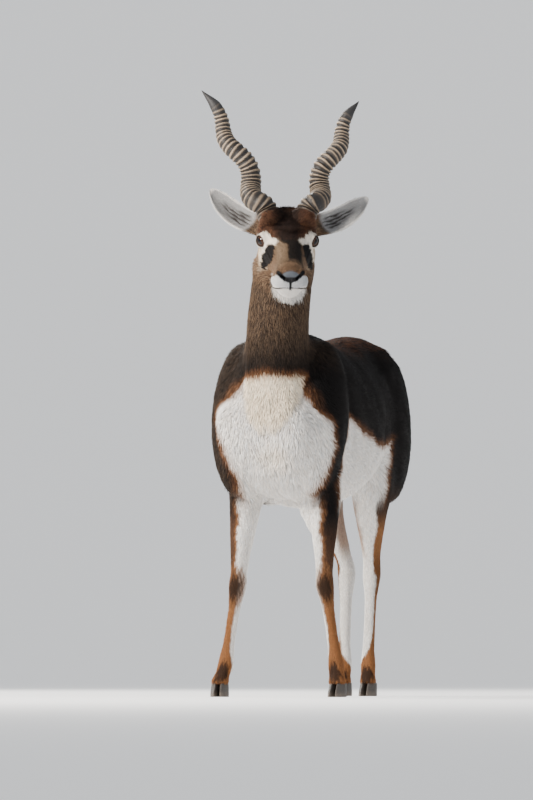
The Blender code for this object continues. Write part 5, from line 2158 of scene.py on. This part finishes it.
@dataclass
class Hooves:
    """The eight claws, each rounded off from its solid."""

    voxel: float = 0.0012
    rounds: int = 3
    height: float = 0.030
    line_depth: float = 0.00022

    def pieces(self, solids: dict[str, Body]) -> list[tuple[Body, str]]:
        """The finished claws with the names of the solids that they stand for.

        Args:
            solids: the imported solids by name.

        Returns:
            Each claw with its solid's name.
        """
        made = []
        for name in sorted(n for n in solids if n.endswith("_claw")):
            hoof = copied(solids[name], name.replace("_claw", "_hoof"))
            melted(hoof, self.voxel, self.rounds)
            at = Spots.on(hoof)
            z = at.points[:, 2]
            lines = self.line_depth * np.sin(z * 1500 + 2.0 * (z / self.height))
            points = at.points + at.normals * (1, 1, 0) * (lines * ramp(z, 0.001, 0.004))[:, None]
            points[:, 2] = np.maximum(points[:, 2], 0.0)
            set_coordinates(hoof.data, points)
            made.append((shaded(hoof), name))
        return made


@dataclass(frozen=True)
class Stage:
    """The pale floor and backdrop, the soft lights and the camera."""

    floor_reach: float = 24.0
    bend: float = 3.0
    wall_height: float = 16.0
    turn: float = math.radians(18)
    distance: float = 16.0
    focal_pixels: float = 7119.0
    camera_height: float = 0.064
    column: float = 316.0
    horizon_row: float = 668.0
    frame_width: int = 533
    frame_height: int = 800
    sensor: float = 36.0
    layout_shift: Duo = (0.017, -0.048)
    surround: Rgb = (0.93, 0.96, 1.0)
    surround_strength: float = 0.82

    @property
    def right(self) -> Array:
        """The way to the picture's right."""
        return np.array([math.cos(self.turn), math.sin(self.turn), 0.0])

    @property
    def near(self) -> Array:
        """The level way from the animal to the camera."""
        return np.array([math.sin(self.turn), -math.cos(self.turn), 0.0])

    def floor(self) -> None:
        """A floor that curves up into the backdrop."""
        bpy.ops.object.select_all(action="DESELECT")
        bpy.ops.mesh.primitive_grid_add(x_subdivisions=2, y_subdivisions=120, size=2)
        floor = named("floor")
        points = coordinates(floor.data)
        arc = self.bend * math.pi / 2
        run = (points[:, 1] + 1) / 2 * (2 * self.floor_reach + arc + self.wall_height)
        turned = np.clip((run - 2 * self.floor_reach) / self.bend, 0, math.pi / 2)
        ahead = np.minimum(run, 2 * self.floor_reach) - self.floor_reach + self.bend * np.sin(turned)
        height = self.bend * (1 - np.cos(turned)) + np.maximum(0, run - 2 * self.floor_reach - arc)
        level = np.outer(ahead, -self.near[:2]) + np.outer(points[:, 0] * self.floor_reach, self.right[:2])
        set_coordinates(floor.data, np.column_stack([level, height]))
        cleaned(floor)
        if floor.data.polygons[0].normal.z < 0:
            floor.data.flip_normals()
        floor.data.materials.append(StageFinish("pale_floor", (0.90, 0.90, 0.90)).material())
        shaded(floor)

    def camera(self) -> None:
        """The camera at the photograph's angle and framing."""
        aside = (self.column - self.frame_width / 2) / (self.focal_pixels / self.distance)
        place = self.near * self.distance - self.right * aside
        place[2] = self.camera_height
        place[:2] -= self.layout_shift
        tilt = math.atan((self.horizon_row - self.frame_height / 2) / self.focal_pixels)
        bpy.ops.object.camera_add(location=place, rotation=(math.pi / 2 + tilt, 0, self.turn))
        camera = bpy.context.active_object
        camera.data.sensor_width = self.sensor
        camera.data.lens = self.focal_pixels / self.frame_height * self.sensor
        camera.data.clip_end = 100
        bpy.context.scene.camera = camera

    def lights(self) -> None:
        """A broad warm key from the picture's left, a cool fill, a light from behind and a pale surround."""
        aim = np.array([0.0, 0.0, 0.65])
        for name, across, ahead, rise, size, power, colour in (
            ("key", -4.2, 2.6, 3.0, 1.0, 760.0, (1.0, 0.94, 0.86)),
            ("fill", 3.8, 3.6, 1.6, 2.5, 60.0, (0.88, 0.94, 1.0)),
            ("rim", -2.2, -3.4, 3.4, 1.5, 260.0, (1.0, 0.96, 0.90)),
        ):
            place = self.right * across + self.near * ahead + UP * rise
            bpy.ops.object.light_add(type="AREA", location=place)
            light = named(name)
            light.data.size = size
            light.data.energy = power
            light.data.color = colour
            light.rotation_euler = Vector(aim - place).to_track_quat("-Z", "Y").to_euler()
        world = bpy.data.worlds.new("surround")
        bpy.context.scene.world = world
        world.use_nodes = True
        surround = world.node_tree.nodes["Background"]
        surround.inputs["Color"].default_value = (*self.surround, 1.0)
        surround.inputs["Strength"].default_value = self.surround_strength


def dressed(obj: Body, material: bpy.types.Material, nodes: tuple[str, ...] = ()) -> None:
    """Gives a piece its finish and ties it to the frame.

    Args:
        obj: the piece.
        material: its finish.
        nodes: the solids that it stands for.
    """
    obj.data.materials.clear()
    obj.data.materials.append(material)
    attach(obj, "root")
    if nodes:
        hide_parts(*nodes)
    LOG.info("%s: %d faces", obj.name, len(obj.data.polygons))


def whole_skin(solids: dict[str, Body]) -> Body:
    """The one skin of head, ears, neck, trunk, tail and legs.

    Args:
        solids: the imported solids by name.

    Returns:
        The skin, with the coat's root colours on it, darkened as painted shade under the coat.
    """
    body = BodySkin().piece(solids)
    head = HeadSkin().piece()
    carved(body, [head], "UNION")
    skin = joined("skin", [body, *(ear.piece() for ear in EARS)])
    root, _ = Markings().colours(Spots.on(skin))
    # The skin is painted darker than the roots of the hair, as painted shade under the coat
    paint(skin, root * UNDER_COAT_SHADE)
    return shaded(skin)


def main() -> None:
    """Builds the animal's looks piece by piece."""
    logging.basicConfig(level=logging.INFO, format="%(message)s")
    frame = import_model()
    solids = frame["nodes"]

    skin = whole_skin(solids)
    pieces = Coat().grow(skin)
    flesh = (*BodySkin().nodes, "head", "ear_left", "ear_right")
    dressed(skin, FurFinish("skin_fur").material(), flesh)
    fur = FurFinish("coat_fur", grain=1500.0, grain_depth=0.0002).material()
    for piece in pieces:
        dressed(piece, fur)
    wet, keratin, hoof = EyeFinish().material(), HornFinish().material(), HoofFinish().material()
    for socket, horn in zip(EYES, HORNS):
        dressed(EyePiece(socket).piece(), wet, (f"eye_{socket.side.word}",))
        dressed(shaded(horn.piece()), keratin, (f"horn_{horn.side.word}",))
    for piece, node in Hooves().pieces(solids):
        dressed(piece, hoof, (node,))

    stage = Stage()
    stage.floor()
    stage.camera()
    stage.lights()


if __name__ == "__main__":
    main()
